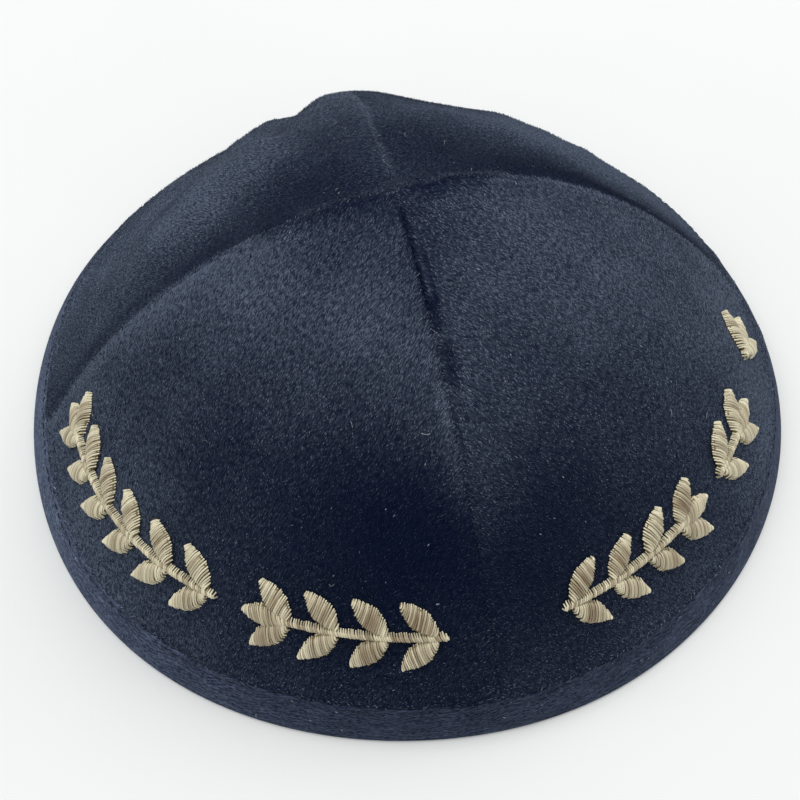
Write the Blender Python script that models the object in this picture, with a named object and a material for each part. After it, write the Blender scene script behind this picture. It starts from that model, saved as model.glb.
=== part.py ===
"""A velvet skullcap of four gores with a bound rim and gold sprigs, standing on its rim.

Blender 4.5, in metres, +Z up. The origin lies on the ground under the middle of the rim, and
the front seam faces -Y. The cap is first worked out in its true round shape. The last step
moves every point of it by one rule, which gives the lean, the dents and the folds of soft
cloth that stands by itself.
"""

from collections import namedtuple
from math import asin, atan2, ceil, cos, hypot, pi, radians, sin, tau

import bmesh
import bpy
import numpy as np
from mathutils import Vector

# Crown
RIM_RADIUS = 0.0900
CROWN_HEIGHT = 0.0630
CLOTH_WALL = 0.0020
CLEARANCE = 0.0003

# Seams between the gores, where the cut edges of the cloth turn inwards
SEAM_GAP = 0.0003
SEAM_ROLL_WIDTH = 0.0022
SEAM_ROLL_DEPTH = 0.0009

# Tape folded round the lower edge
TAPE_WIDTH = 0.0100
TAPE_WIDTH_INSIDE = 0.0085
TAPE_WALL = 0.0008
TAPE_STANDS_PROUD = 0.0003
TAPE_FOLD_RADIUS = 0.0009

# Embroidered sprigs
SPRIG_FROM_RIM = 0.0270
SPRIG_STUB = 0.0015
LEAF_LENGTH = 0.0098
LEAF_WIDTH = 0.0042
LEAF_PITCH = 0.0095
LEAF_SPLAY = radians(42)
LEAF_EDGE = 0.0004
LEAF_RIDGE = 0.0009
STEM_WIDTH = 0.0014
STEM_THICKNESS = 0.0006

# Fineness of the meshes
PROFILE_STEPS = 240
GORE_ROWS = 18
GORE_COLUMNS = 14
RIM_STEPS = 64
FOLD_STEPS = 3
LEAF_STEPS = 4
TIP_ROW = 0.35
WELD_DISTANCE = 0.000003

# The crown's profile at a seam, or in the middle of a gore, is
# height = CROWN_HEIGHT * (1 - share ** roundness) ** fullness,
# where share is the distance from the axis over RIM_RADIUS. A seam's ridge is sharp where
# crease is small. Azimuths are in degrees, counterclockwise from +X, seen from above.
Seam = namedtuple("Seam", "azimuth roundness fullness crease")
SEAMS = (
    Seam(-90.0, 2.20, 0.72, 1.60),
    Seam(5.0, 1.95, 0.95, 1.15),
    Seam(90.5, 2.00, 0.89, 1.40),
    Seam(180.8, 2.20, 0.98, 1.15),
)

# Each gore runs counterclockwise from the seam in the same row of the table above.
Gore = namedtuple("Gore", "name roundness fullness")
GORES = (
    Gore("panel_front_right", 2.10, 0.75),
    Gore("panel_back_right", 2.00, 1.07),
    Gore("panel_back_left", 2.00, 1.06),
    Gore("panel_front_left", 2.10, 0.75),
)

# The top leans by this share of the rim radius.
LEAN_X = -0.023
LEAN_Y = 0.024

# Folds and dents of the standing cap. Each runs along a bowed line from start to end, in
# shares of the rim radius, and has its half width in the same shares. Its height is a share
# of the crown height, up where positive and down where negative.
Fold = namedtuple("Fold", "start_x start_y end_x end_y bow width height")
FOLDS = (
    Fold(-0.10, 0.10, -0.86, 0.06, 0.00, 0.080, -0.050),
    Fold(-0.24, 0.42, -0.88, 0.02, 0.05, 0.085, 0.055),
    Fold(-0.08, 0.86, -0.28, 0.36, 0.00, 0.050, -0.062),
    Fold(-0.06, 0.66, -0.12, 0.28, 0.00, 0.050, 0.012),
    Fold(-0.36, 0.56, -0.80, 0.22, 0.02, 0.060, -0.030),
    Fold(-0.31, 0.80, -0.49, 0.40, 0.00, 0.055, -0.058),
    Fold(0.27, 0.85, 0.17, 0.35, 0.00, 0.110, -0.035),
    Fold(0.08, 0.17, 0.84, 0.17, 0.00, 0.075, -0.045),
    Fold(0.06, 0.03, 0.86, 0.07, 0.00, 0.090, 0.027),
    Fold(-0.04, -0.04, -0.02, 0.05, 0.00, 0.080, -0.008),
    Fold(-0.25, -0.09, -0.14, -0.19, 0.00, 0.050, -0.012),
)

# Waves of the rim: the radius grows by a share of itself round an azimuth in degrees.
RimWave = namedtuple("RimWave", "azimuth half_width share")
RIM_WAVES = (
    RimWave(-143.0, 20.0, 0.012),
    RimWave(-99.0, 17.0, -0.007),
    RimWave(176.0, 18.0, -0.006),
    RimWave(142.0, 15.0, 0.008),
    RimWave(29.0, 10.0, 0.008),
)

# Sprigs on the two front gores: the azimuth of the middle in degrees, how many pairs of
# leaves, and which way the tip points, 1 counterclockwise or -1 clockwise.
Sprig = namedtuple("Sprig", "name azimuth pairs points_to")
SPRIGS = (
    Sprig("sprig_one", -17.5, 1, 1),
    Sprig("sprig_two", -38.0, 2, 1),
    Sprig("sprig_three", -64.5, 4, 1),
    Sprig("sprig_four", -111.0, 4, -1),
    Sprig("sprig_five", -152.0, 6, -1),
)

Finish = namedtuple("Finish", "red green blue roughness")
FINISHES = {
    "panel": Finish(0.010, 0.016, 0.030, 0.95),
    "rim": Finish(0.018, 0.018, 0.036, 0.80),
    "sprig": Finish(0.560, 0.430, 0.240, 0.45),
}


def mix(first, second, share):
    """The value that lies at a share of the way from first to second."""
    return first + (second - first) * share


def profile_shape(azimuth):
    """Roundness and fullness of the crown at an azimuth in radians."""
    passed = [(azimuth - radians(seam.azimuth)) % tau for seam in SEAMS]
    index = passed.index(min(passed))
    seam = SEAMS[index]
    following = SEAMS[(index + 1) % len(SEAMS)]
    gore = GORES[index]
    span = radians(following.azimuth - seam.azimuth) % tau
    share = passed[index] / span
    crease = seam.crease if share < 0.5 else following.crease
    openness = max(0.0, sin(pi * share)) ** crease
    eased = share * share * (3 - 2 * share)
    roundness = mix(mix(seam.roundness, following.roundness, eased), gore.roundness, openness)
    fullness = mix(mix(seam.fullness, following.fullness, eased), gore.fullness, openness)
    return roundness, fullness


class Meridian:
    """The crown's outer profile in the upright plane through the axis at one azimuth.

    A place on it is its distance from the rim, measured along the cloth. The profile runs on
    a little below the ground, so that offset lines can be cut off level there.
    """

    def __init__(self, azimuth):
        roundness, fullness = profile_shape(azimuth)
        share = np.cos(np.linspace(0, pi / 2, PROFILE_STEPS))
        radius = RIM_RADIUS * share
        height = CROWN_HEIGHT * np.clip(1 - share ** roundness, 0, 1) ** fullness
        below = 2 * CLOTH_WALL
        lean = hypot(radius[0] - radius[1], height[1])
        radius = np.insert(radius, 0, radius[0] + below * (radius[0] - radius[1]) / lean)
        height = np.insert(height, 0, -below * height[1] / lean)
        length = np.cumsum(np.hypot(np.diff(radius), np.diff(height)))
        self.from_rim = np.insert(length, 0, 0) - below
        self.radius = radius
        self.height = height
        slope_out = np.gradient(height)
        slope_up = -np.gradient(radius)
        size = np.hypot(slope_out, slope_up)
        self.out = slope_out / size
        self.up = slope_up / size
        self.length = self.from_rim[-1]

    def point(self, from_rim, offset):
        """Distance from the axis and height, at an offset outwards from the profile."""
        radius = np.interp(from_rim, self.from_rim, self.radius + offset * self.out)
        height = np.interp(from_rim, self.from_rim, self.height + offset * self.up)
        return radius, height

    def ground(self, offset):
        """Where the line at this offset meets the ground, as a distance from the rim."""
        return np.interp(0, self.height + offset * self.up, self.from_rim)


def upright(azimuth, radius, height):
    """The point at a distance from the axis, a height and an azimuth."""
    return Vector((radius * cos(azimuth), radius * sin(azimuth), height))


def fold_lift(fold, x, y):
    """How far a fold lifts the cloth over a place in plan, both given in rim radii."""
    run_x = fold.end_x - fold.start_x
    run_y = fold.end_y - fold.start_y
    run = hypot(run_x, run_y)
    along = ((x - fold.start_x) * run_x + (y - fold.start_y) * run_y) / run ** 2
    if not 0 < along < 1:
        return 0.0
    aside = ((y - fold.start_y) * run_x - (x - fold.start_x) * run_y) / run
    aside -= 4 * fold.bow * along * (1 - along)
    fade = 1 - (2 * along - 1) ** 4
    return fold.height * CROWN_HEIGHT * fade * 2 ** -((aside / fold.width) ** 2)


def settle(point):
    """Where a point of the true round cap lies when the soft cap stands on its rim."""
    x = point.x / RIM_RADIUS
    y = point.y / RIM_RADIUS
    away_from_rim = max(0.0, 1 - hypot(x, y) ** 6)
    lift = sum(fold_lift(fold, x, y) for fold in FOLDS) * away_from_rim
    raised = point.z / CROWN_HEIGHT
    wave = 0.0
    for rim_wave in RIM_WAVES:
        turn = (atan2(y, x) - radians(rim_wave.azimuth) + pi) % tau - pi
        wave += rim_wave.share * 2 ** -((turn / radians(rim_wave.half_width)) ** 2)
    grow = 1 + wave * max(0.0, 1 - raised)
    return Vector((
        point.x * grow + LEAN_X * RIM_RADIUS * raised,
        point.y * grow + LEAN_Y * RIM_RADIUS * raised,
        point.z + lift,
    ))


def make_material(name, finish):
    """A Principled material of one colour and roughness, with no metal in it."""
    material = bpy.data.materials.new(name)
    material.use_nodes = True
    shader = material.node_tree.nodes["Principled BSDF"]
    shader.inputs["Base Color"].default_value = (finish.red, finish.green, finish.blue, 1)
    shader.inputs["Roughness"].default_value = finish.roughness
    shader.inputs["Metallic"].default_value = 0.0
    return material


def make_object(name, mesh, collection):
    """A named object from a bmesh, with faces out and its own material."""
    bmesh.ops.recalc_face_normals(mesh, faces=mesh.faces)
    data = bpy.data.meshes.new(name)
    mesh.to_mesh(data)
    mesh.free()
    data.materials.append(make_material(name, FINISHES[name.split("_")[0]]))
    data.shade_smooth()
    data.set_sharp_from_angle(angle=radians(40))
    result = bpy.data.objects.new(name, data)
    collection.objects.link(result)
    return result


def make_wall(columns, rows):
    """A flat grid extruded into two skins that lie on each other and meet along their edges.

    Returns the bmesh and a table for each skin, which finds a vertex by its column and row.
    """
    mesh = bmesh.new()
    bmesh.ops.create_grid(mesh, x_segments=columns, y_segments=rows, size=1.0)
    extruded = bmesh.ops.extrude_face_region(mesh, geom=mesh.faces[:])["geom"]
    copied = {element for element in extruded if isinstance(element, bmesh.types.BMVert)}
    skins = {}, {}
    for vertex in mesh.verts:
        column = round((vertex.co.x + 1) / 2 * columns)
        row = round((vertex.co.y + 1) / 2 * rows)
        skins[vertex in copied][column, row] = vertex
    return mesh, *skins


def settle_mesh(mesh):
    """Move a piece from the true round cap to where it lies on the standing cap."""
    for vertex in mesh.verts:
        vertex.co = settle(vertex.co)


def gore_columns():
    """Shares of the way across a gore, with a narrow column along each seam."""
    edge = SEAM_ROLL_WIDTH / RIM_RADIUS
    inner = [mix(edge, 1 - edge, step / GORE_COLUMNS) for step in range(GORE_COLUMNS + 1)]
    return [0.0, *inner, 1.0]


def gore_rows(meridian):
    """Distances from the rim for one column of a gore, from the tip to the edge of the tape.

    The last row is where the cloth has stepped down under the tape.
    """
    shoulder = meridian.ground(TAPE_STANDS_PROUD) + TAPE_WIDTH + CLEARANCE
    places = [0.0, TIP_ROW, *range(1, GORE_ROWS + 1)]
    rows = [mix(meridian.length, shoulder, place / GORE_ROWS) for place in places]
    return [*rows, shoulder - CLEARANCE]


def seam_roll(distance):
    """How deep the cloth's face turns in at this distance from a seam."""
    return SEAM_ROLL_DEPTH * max(0.0, 1 - distance / SEAM_ROLL_WIDTH) ** 2


class GoreColumn:
    """One line of points down a gore, at a share of the way across it."""

    def __init__(self, index, across):
        self.start = radians(SEAMS[index].azimuth)
        self.span = (radians(SEAMS[(index + 1) % len(SEAMS)].azimuth) - self.start) % tau
        self.across = across
        self.meridian = Meridian(self.start + across * self.span)

    def point(self, from_rim, offset):
        """A point that stays half a seam gap or more from the upright planes of both seams."""
        half_gap = SEAM_GAP / 2
        radius, height = self.meridian.point(from_rim, offset)
        radius = max(radius, half_gap / sin(self.span / 2))
        inset = asin(half_gap / radius)
        turn = mix(inset, self.span - inset, self.across)
        return upright(self.start + turn, radius, height)

    def depth(self, from_rim, pressed):
        """How deep the face lies at a distance from the rim, by a seam or under the tape."""
        radius = self.meridian.point(from_rim, 0.0)[0]
        from_seam = radius * sin(min(self.across, 1 - self.across) * self.span)
        return max(seam_roll(from_seam), pressed)


def make_gore(index, collection):
    """One gore as a wall of cloth, with its lower edge pressed thin under the tape."""
    pressed = TAPE_WALL + CLEARANCE - TAPE_STANDS_PROUD
    above_fold = TAPE_WALL + CLEARANCE
    lines = [GoreColumn(index, across) for across in gore_columns()]
    row_count = len(gore_rows(lines[0].meridian)) + 1
    mesh, outer, inner = make_wall(len(lines) - 1, row_count - 1)
    for column, line in enumerate(lines):
        rows = gore_rows(line.meridian)
        for row, from_rim in enumerate(rows):
            depth = line.depth(from_rim, pressed if row == len(rows) - 1 else 0.0)
            outer[column, row].co = line.point(from_rim, -depth)
            inner[column, row].co = line.point(from_rim, -CLOTH_WALL)
        for skin, offset in ((outer, -line.depth(above_fold, pressed)), (inner, -CLOTH_WALL)):
            from_rim = line.meridian.ground(offset) + above_fold
            skin[column, len(rows)].co = line.point(from_rim, offset)
    bmesh.ops.remove_doubles(mesh, verts=mesh.verts, dist=WELD_DISTANCE)
    settle_mesh(mesh)
    return make_object(GORES[index].name, mesh, collection)


def tape_section(meridian):
    """The closed outline of the folded tape, as distances from the rim and offsets outwards."""
    outside = TAPE_STANDS_PROUD
    channel_out = outside - TAPE_WALL
    channel_in = -CLOTH_WALL - CLEARANCE
    inside = channel_in - TAPE_WALL
    turns = [pi / 2 * step / FOLD_STEPS for step in range(FOLD_STEPS + 1)]
    outer_fold = [(TAPE_FOLD_RADIUS * (1 - sin(turn)),
                   outside - TAPE_FOLD_RADIUS * (1 - cos(turn))) for turn in turns]
    inner_fold = [(TAPE_FOLD_RADIUS * (1 - cos(turn)),
                   inside + TAPE_FOLD_RADIUS * (1 - sin(turn))) for turn in turns]
    channel = [(TAPE_WALL, channel_in), (TAPE_WALL, channel_out)]

    def above_ground(places):
        """Heights above the ground as distances from the rim, at the same offsets."""
        return [(meridian.ground(offset) + up, offset) for up, offset in places]

    top = meridian.ground(outside) + TAPE_WIDTH
    middle = meridian.ground(outside) + TAPE_WIDTH / 2
    inner_top = meridian.ground(inside) + TAPE_WIDTH_INSIDE
    return [
        (top, outside), (middle, outside), *above_ground(outer_fold + inner_fold),
        (inner_top, inside), (inner_top, channel_in), *above_ground(channel),
        (top, channel_out),
    ]


def make_tape(collection):
    """The tape as a closed ring whose section is folded over the gores' lower edges."""
    mesh = bmesh.new()
    azimuths = [tau * step / RIM_STEPS for step in range(RIM_STEPS)]
    rings = []
    for azimuth in azimuths:
        meridian = Meridian(azimuth)
        places = [meridian.point(*place) for place in tape_section(meridian)]
        rings.append([upright(azimuth, *place) for place in places])
    rows = len(rings[0])
    bmesh.ops.create_grid(mesh, x_segments=RIM_STEPS, y_segments=rows, size=1.0)
    for vertex in mesh.verts:
        column = round((vertex.co.x + 1) / 2 * RIM_STEPS) % RIM_STEPS
        row = round((vertex.co.y + 1) / 2 * rows) % rows
        vertex.co = rings[column][row]
    bmesh.ops.remove_doubles(mesh, verts=mesh.verts, dist=WELD_DISTANCE)
    settle_mesh(mesh)
    return make_object("rim_binding", mesh, collection)


def make_leaf(base, side, points_to):
    """A pointed leaf with a raised middle, flat on its back, as the hull of its points.

    The side is 1 above the stem, -1 below it, or 0 for the leaf at the stem's end.
    """
    mesh = bmesh.new()
    angle = side * LEAF_SPLAY
    for step in range(LEAF_STEPS + 1):
        share = step / LEAF_STEPS
        swell = sin(pi * share)
        half_width = LEAF_WIDTH / 2 * swell
        heights = {-half_width: (0.0, LEAF_EDGE), half_width: (0.0, LEAF_EDGE)}
        if 0 < step < LEAF_STEPS:
            heights[0.0] = (mix(LEAF_EDGE, LEAF_RIDGE, swell),)
        for aside, levels in heights.items():
            for level in levels:
                along = base + share * LEAF_LENGTH * cos(angle) - aside * sin(angle)
                up = side * STEM_WIDTH / 4 + share * LEAF_LENGTH * sin(angle) + aside * cos(angle)
                mesh.verts.new((along * points_to, up, level))
    bmesh.ops.remove_doubles(mesh, verts=mesh.verts, dist=WELD_DISTANCE)
    bmesh.ops.convex_hull(mesh, input=mesh.verts)
    return mesh


def make_stem(length, points_to):
    """A flat strip, cut across often enough to follow the curve of the rim."""
    steps = ceil(length / LEAF_PITCH * 2)
    mesh, front, back = make_wall(steps, 1)
    for skin, level in ((front, STEM_THICKNESS), (back, 0.0)):
        for (column, row), vertex in skin.items():
            vertex.co = (column / steps * length * points_to, (row - 0.5) * STEM_WIDTH, level)
    return mesh


def flat_object(mesh):
    """A helper object from a bmesh, outside every collection that is kept."""
    bmesh.ops.recalc_face_normals(mesh, faces=mesh.faces)
    data = bpy.data.meshes.new("flat")
    mesh.to_mesh(data)
    mesh.free()
    return bpy.data.objects.new("flat", data)


def make_sprig(sprig, collection, helpers):
    """A sprig drawn flat, its leaves fused with the stem, then laid round the crown."""
    last_base = SPRIG_STUB + (sprig.pairs - 1) * LEAF_PITCH
    whole_length = last_base + LEAF_LENGTH
    stem = flat_object(make_stem(last_base + 2 * STEM_WIDTH, sprig.points_to))
    bpy.context.scene.collection.objects.link(stem)
    leaves = [make_leaf(last_base, 0, sprig.points_to)]
    for pair in range(sprig.pairs):
        base = SPRIG_STUB + pair * LEAF_PITCH
        leaves += [make_leaf(base, side, sprig.points_to) for side in (1, -1)]
    for leaf in leaves:
        helpers.objects.link(flat_object(leaf))
    union = stem.modifiers.new("fuse", "BOOLEAN")
    union.operation = "UNION"
    union.operand_type = "COLLECTION"
    union.collection = helpers
    evaluated = stem.evaluated_get(bpy.context.evaluated_depsgraph_get())
    mesh = bmesh.new()
    mesh.from_mesh(evaluated.to_mesh())
    for helper in [stem, *helpers.objects]:
        bpy.data.objects.remove(helper)

    middle = radians(sprig.azimuth)
    turn_radius = Meridian(middle).point(SPRIG_FROM_RIM, 0.0)[0]
    for vertex in mesh.verts:
        along, up, out = vertex.co
        azimuth = middle + (along - sprig.points_to * whole_length / 2) / turn_radius
        place = Meridian(azimuth).point(SPRIG_FROM_RIM + up, CLEARANCE + out)
        vertex.co = upright(azimuth, *place)
    settle_mesh(mesh)
    return make_object(sprig.name, mesh, collection)


def main():
    """Build the cap: four gores, the tape and five sprigs."""
    for old in list(bpy.data.objects):
        bpy.data.objects.remove(old)
    collection = bpy.data.collections.new("kippah_skullcap")
    bpy.context.scene.collection.children.link(collection)
    helpers = bpy.data.collections.new("helpers")
    bpy.context.scene.collection.children.link(helpers)
    for index in range(len(GORES)):
        make_gore(index, collection)
    make_tape(collection)
    for sprig in SPRIGS:
        make_sprig(sprig, collection, helpers)
    bpy.data.collections.remove(helpers)


main()
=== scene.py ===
"""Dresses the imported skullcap: velvet gores with their pile, a bound rim and stitched sprigs.

In metres, +Z up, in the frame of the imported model. The cap is worked out in its true round
shape, as distances along the cloth, and one rule then lays every point of it where the soft
cap lies when it stands on its rim.
"""

import logging
from dataclasses import dataclass, field
from enum import Enum
from math import cos, hypot, pi, radians, sin, tau

import bmesh
import bpy
import numpy as np
from mathutils import Matrix, Vector

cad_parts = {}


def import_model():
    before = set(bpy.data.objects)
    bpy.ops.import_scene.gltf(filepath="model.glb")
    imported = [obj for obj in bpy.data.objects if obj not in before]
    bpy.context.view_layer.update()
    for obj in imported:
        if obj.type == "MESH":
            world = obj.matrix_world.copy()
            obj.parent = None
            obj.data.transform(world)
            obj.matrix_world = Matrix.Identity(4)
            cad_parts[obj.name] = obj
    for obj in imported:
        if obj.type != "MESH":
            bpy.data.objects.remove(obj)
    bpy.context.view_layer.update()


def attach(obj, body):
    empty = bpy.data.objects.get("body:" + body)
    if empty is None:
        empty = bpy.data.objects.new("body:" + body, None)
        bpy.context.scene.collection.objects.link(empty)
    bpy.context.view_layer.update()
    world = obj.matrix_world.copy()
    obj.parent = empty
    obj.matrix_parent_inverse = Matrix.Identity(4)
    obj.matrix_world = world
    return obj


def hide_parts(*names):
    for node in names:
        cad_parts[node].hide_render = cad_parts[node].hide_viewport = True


log = logging.getLogger("skullcap")

BODY = "root"
RIM_RADIUS = 0.0900
CROWN_HEIGHT = 0.0630
CLOTH_WALL = 0.0020
CLEARANCE = 0.0003
WELD_DISTANCE = 0.000003

Colour = tuple[float, float, float]
Numbers = np.ndarray


class Slot(Enum):
    """The record's material slots."""

    VELVET = "velvet"
    TAPE = "binding_tape"
    THREAD = "gold_thread"


class Skin(Enum):
    """The two sides of a gore's cloth, by the place of their material."""

    FACE = 0
    BACK = 1


@dataclass(frozen=True)
class Seam:
    """A seam from rim to crown, with the crown's profile along it and how sharp its ridge is.

    The velvet rolls in at it by a depth in metres, as far down from the crown as roll_end.
    """

    azimuth: float
    roundness: float
    fullness: float
    crease: float
    roll: float
    roll_end: float


@dataclass(frozen=True)
class Gore:
    """A quarter of the crown, counterclockwise from its seam, and how its velvet lies.

    The nap is the angle in degrees from up the gore's middle towards counterclockwise. The tone is
    how light its velvet is, with painted light and shade in it.
    """

    name: str
    roundness: float
    fullness: float
    nap: float
    tone: float
    unevenness: float


@dataclass(frozen=True)
class Fold:
    """A fold of the standing cap, in shares of the rim radius and of the crown height."""

    start_x: float
    start_y: float
    end_x: float
    end_y: float
    bow: float
    width: float
    height: float


@dataclass(frozen=True)
class RimWave:
    """A place where the rim bulges out or in by a share of its radius."""

    azimuth: float
    half_width: float
    share: float


@dataclass(frozen=True)
class NapAndLightPatch:
    """A patch of one gore painted lighter or darker: its brushed nap, with painted light and shade.

    Its middle and its half widths are shares of the rim radius, seen from above. The gain is
    the natural logarithm of how many times lighter the velvet is in the middle.
    """

    gore: str
    x: float
    y: float
    reach_x: float
    reach_y: float
    gain: float


@dataclass(frozen=True)
class SeamShade:
    """A stretch along a seam painted darker or lighter: parted or ruffled pile, with painted light
    and shade.

    In metres: where it starts and ends, down from the crown along the cloth, how far its
    middle lies from the seam, counterclockwise if positive, and its half width. The gain is
    a natural logarithm, and ruffle says how much wilder the pile stands.
    """

    seam: int
    start: float
    end: float
    offset: float
    width: float
    gain: float
    ruffle: float


@dataclass(frozen=True)
class Sprig:
    """A stitched sprig: the azimuth of its middle, its pairs of leaves and where it points.

    The paleness is how much lighter its thread is than the middle of the thread's colours.
    """

    name: str
    azimuth: float
    pairs: int
    points_to: int
    paleness: float


SEAMS = (
    Seam(-90.0, 2.20, 0.72, 1.60, 0.00050, 0.050),
    Seam(5.0, 1.95, 0.95, 1.15, 0.00035, 0.022),
    Seam(90.5, 2.00, 0.89, 1.40, 0.00012, 0.060),
    Seam(180.8, 2.20, 0.98, 1.15, 0.00035, 0.026),
)
GORES = (
    Gore("panel_front_right", 2.10, 0.75, -14.0, 0.60, 2.10),
    Gore("panel_back_right", 2.00, 1.07, 0.0, 0.74, 0.95),
    Gore("panel_back_left", 2.00, 1.06, 0.0, 0.74, 0.95),
    Gore("panel_front_left", 2.10, 0.75, 4.0, 0.378, 2.50),
)
LEAN_X = -0.023
LEAN_Y = 0.024
FOLDS = (
    Fold(-0.10, 0.10, -0.86, 0.06, 0.00, 0.080, -0.050),
    Fold(-0.24, 0.42, -0.88, 0.02, 0.05, 0.085, 0.055),
    Fold(-0.08, 0.86, -0.28, 0.36, 0.00, 0.050, -0.062),
    Fold(-0.06, 0.66, -0.12, 0.28, 0.00, 0.050, 0.012),
    Fold(-0.36, 0.56, -0.80, 0.22, 0.02, 0.060, -0.030),
    Fold(-0.31, 0.80, -0.49, 0.40, 0.00, 0.055, -0.058),
    Fold(0.27, 0.85, 0.17, 0.35, 0.00, 0.110, -0.035),
    Fold(0.08, 0.17, 0.84, 0.17, 0.00, 0.075, -0.045),
    Fold(0.06, 0.03, 0.86, 0.07, 0.00, 0.090, 0.027),
    Fold(-0.04, -0.04, -0.02, 0.05, 0.00, 0.080, -0.008),
    Fold(-0.25, -0.09, -0.14, -0.19, 0.00, 0.050, -0.012),
)
RIM_WAVES = (
    RimWave(-143.0, 20.0, 0.012),
    RimWave(-99.0, 17.0, -0.007),
    RimWave(176.0, 18.0, -0.006),
    RimWave(142.0, 15.0, 0.008),
    RimWave(29.0, 10.0, 0.008),
)
# Painted light and shade with the nap's lay: lighter where the cap faces the light and at its
# grazing edges, darker where it faces away.
NAP_AND_LIGHT_PATCHES = (
    NapAndLightPatch("panel_front_right", 0.18, -0.59, 0.09, 0.17, -0.38),
    NapAndLightPatch("panel_front_right", 0.41, -0.27, 0.37, 0.54, 0.38),
    NapAndLightPatch("panel_front_right", 0.38, -0.65, 0.16, 0.08, -0.57),
    NapAndLightPatch("panel_front_right", 0.14, -0.75, 0.20, 0.10, -0.76),
    NapAndLightPatch("panel_front_right", -0.04, 0.02, 0.09, 0.21, -0.78),
    NapAndLightPatch("panel_front_right", 0.84, -0.45, 0.11, 0.53, 0.71),
    NapAndLightPatch("panel_front_right", -0.06, -0.85, 0.24, 0.14, -0.87),
    NapAndLightPatch("panel_front_right", 0.43, -0.48, 0.20, 0.10, -0.48),
    NapAndLightPatch("panel_back_right", 0.46, 0.13, 0.27, 0.08, -1.30),
    NapAndLightPatch("panel_back_right", 0.64, 0.35, 0.50, 0.15, 1.20),
    NapAndLightPatch("panel_back_right", -0.05, 0.26, 0.45, 0.08, -0.70),
    NapAndLightPatch("panel_back_right", 0.10, 0.05, 0.14, 0.12, -0.57),
    NapAndLightPatch("panel_back_right", 0.30, 0.85, 0.50, 0.30, -0.30),
    NapAndLightPatch("panel_back_left", -0.50, 0.21, 0.13, 0.09, 0.53),
    NapAndLightPatch("panel_back_left", -0.23, 0.05, 0.13, 0.14, -1.00),
    NapAndLightPatch("panel_back_left", -0.84, 0.47, 0.50, 0.25, 0.78),
    NapAndLightPatch("panel_back_left", -0.09, 0.14, 0.09, 0.17, -0.44),
    NapAndLightPatch("panel_back_left", -0.46, 0.08, 0.12, 0.07, -0.64),
    NapAndLightPatch("panel_back_left", -0.30, 0.85, 0.40, 0.30, -0.30),
    NapAndLightPatch("panel_front_left", -0.11, -0.32, 0.12, 0.18, 0.82),
    NapAndLightPatch("panel_front_left", -0.10, -0.76, 0.23, 0.13, -0.81),
    NapAndLightPatch("panel_front_left", -0.52, -0.43, 0.14, 0.18, -0.54),
    NapAndLightPatch("panel_front_left", -0.71, -0.19, 0.10, 0.08, -0.49),
    NapAndLightPatch("panel_front_left", -0.85, -0.29, 0.30, 0.55, 1.15),
    NapAndLightPatch("panel_front_left", -0.54, 0.05, 0.17, 0.10, 0.82),
    NapAndLightPatch("panel_front_left", -0.01, -0.56, 0.08, 0.10, 0.73),
    NapAndLightPatch("panel_front_left", -0.20, -0.64, 0.19, 0.13, -0.81),
    NapAndLightPatch("panel_front_left", -0.36, -0.13, 0.14, 0.24, 0.79),
)
# Painted shade in the seams' grooves and on the sides of their ridges turned from the light,
# painted light on the lit sides, and parted or ruffled pile.
SEAM_SHADES = (
    SeamShade(0, 0.004, 0.030, 0.0000, 0.00048, -1.30, 0.0),
    SeamShade(0, 0.015, 0.029, 0.0019, 0.00042, -0.95, 0.0),
    SeamShade(0, 0.026, 0.034, 0.0009, 0.00110, -1.00, 1.2),
    SeamShade(0, 0.035, 0.045, 0.0016, 0.00110, -1.10, 1.2),
    SeamShade(0, 0.042, 0.068, 0.0006, 0.00040, -0.50, 0.5),
    SeamShade(0, 0.042, 0.070, -0.0012, 0.00160, 0.40, 0.6),
    SeamShade(1, 0.001, 0.024, -0.0007, 0.00060, -1.00, 0.5),
    SeamShade(1, 0.004, 0.020, -0.0024, 0.00180, -0.70, 0.3),
    SeamShade(1, 0.005, 0.026, 0.0004, 0.00040, 0.75, 1.5),
    SeamShade(1, 0.022, 0.104, -0.0008, 0.00100, 0.45, 0.3),
    SeamShade(1, 0.020, 0.098, 0.0020, 0.00240, -0.65, 0.1),
    SeamShade(2, 0.001, 0.055, 0.0000, 0.00055, 0.55, 1.2),
    SeamShade(3, 0.001, 0.032, 0.0016, 0.00170, -0.80, 0.5),
    SeamShade(3, 0.001, 0.023, -0.0004, 0.00060, 0.80, 2.0),
    SeamShade(3, 0.034, 0.060, -0.0001, 0.00040, 0.55, 0.3),
    SeamShade(3, 0.034, 0.060, 0.0007, 0.00040, -1.00, 0.0),
    SeamShade(3, 0.036, 0.056, 0.0015, 0.00040, 0.50, 0.3),
    SeamShade(3, 0.056, 0.114, 0.0014, 0.00160, 0.35, 0.3),
    SeamShade(3, 0.030, 0.112, -0.0020, 0.00220, -0.45, 0.1),
)
SPRIGS = (
    Sprig("sprig_one", -17.5, 1, 1, 0.10),
    Sprig("sprig_two", -38.0, 2, 1, 0.04),
    Sprig("sprig_three", -64.5, 4, 1, -0.06),
    Sprig("sprig_four", -111.0, 4, -1, -0.12),
    Sprig("sprig_five", -152.0, 6, -1, 0.03),
)


def mix(first: Numbers, second: Numbers, share: Numbers) -> Numbers:
    """The value that lies at a share of the way from first to second."""
    return first + (second - first) * share


def bell(distance: Numbers, half_width: float) -> Numbers:
    """One in the middle, and half of that at the half width."""
    return 2.0 ** -((distance / half_width) ** 2)


def smooth_step(low: float, high: float, value: Numbers) -> Numbers:
    """A soft step from 0 at low to 1 at high."""
    share = np.clip((value - low) / (high - low), 0, 1)
    return share * share * (3 - 2 * share)


def unit(vectors: Numbers) -> Numbers:
    """Vectors of the same directions with length 1."""
    return vectors / np.maximum(np.linalg.norm(vectors, axis=-1, keepdims=True), 1e-12)


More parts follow.
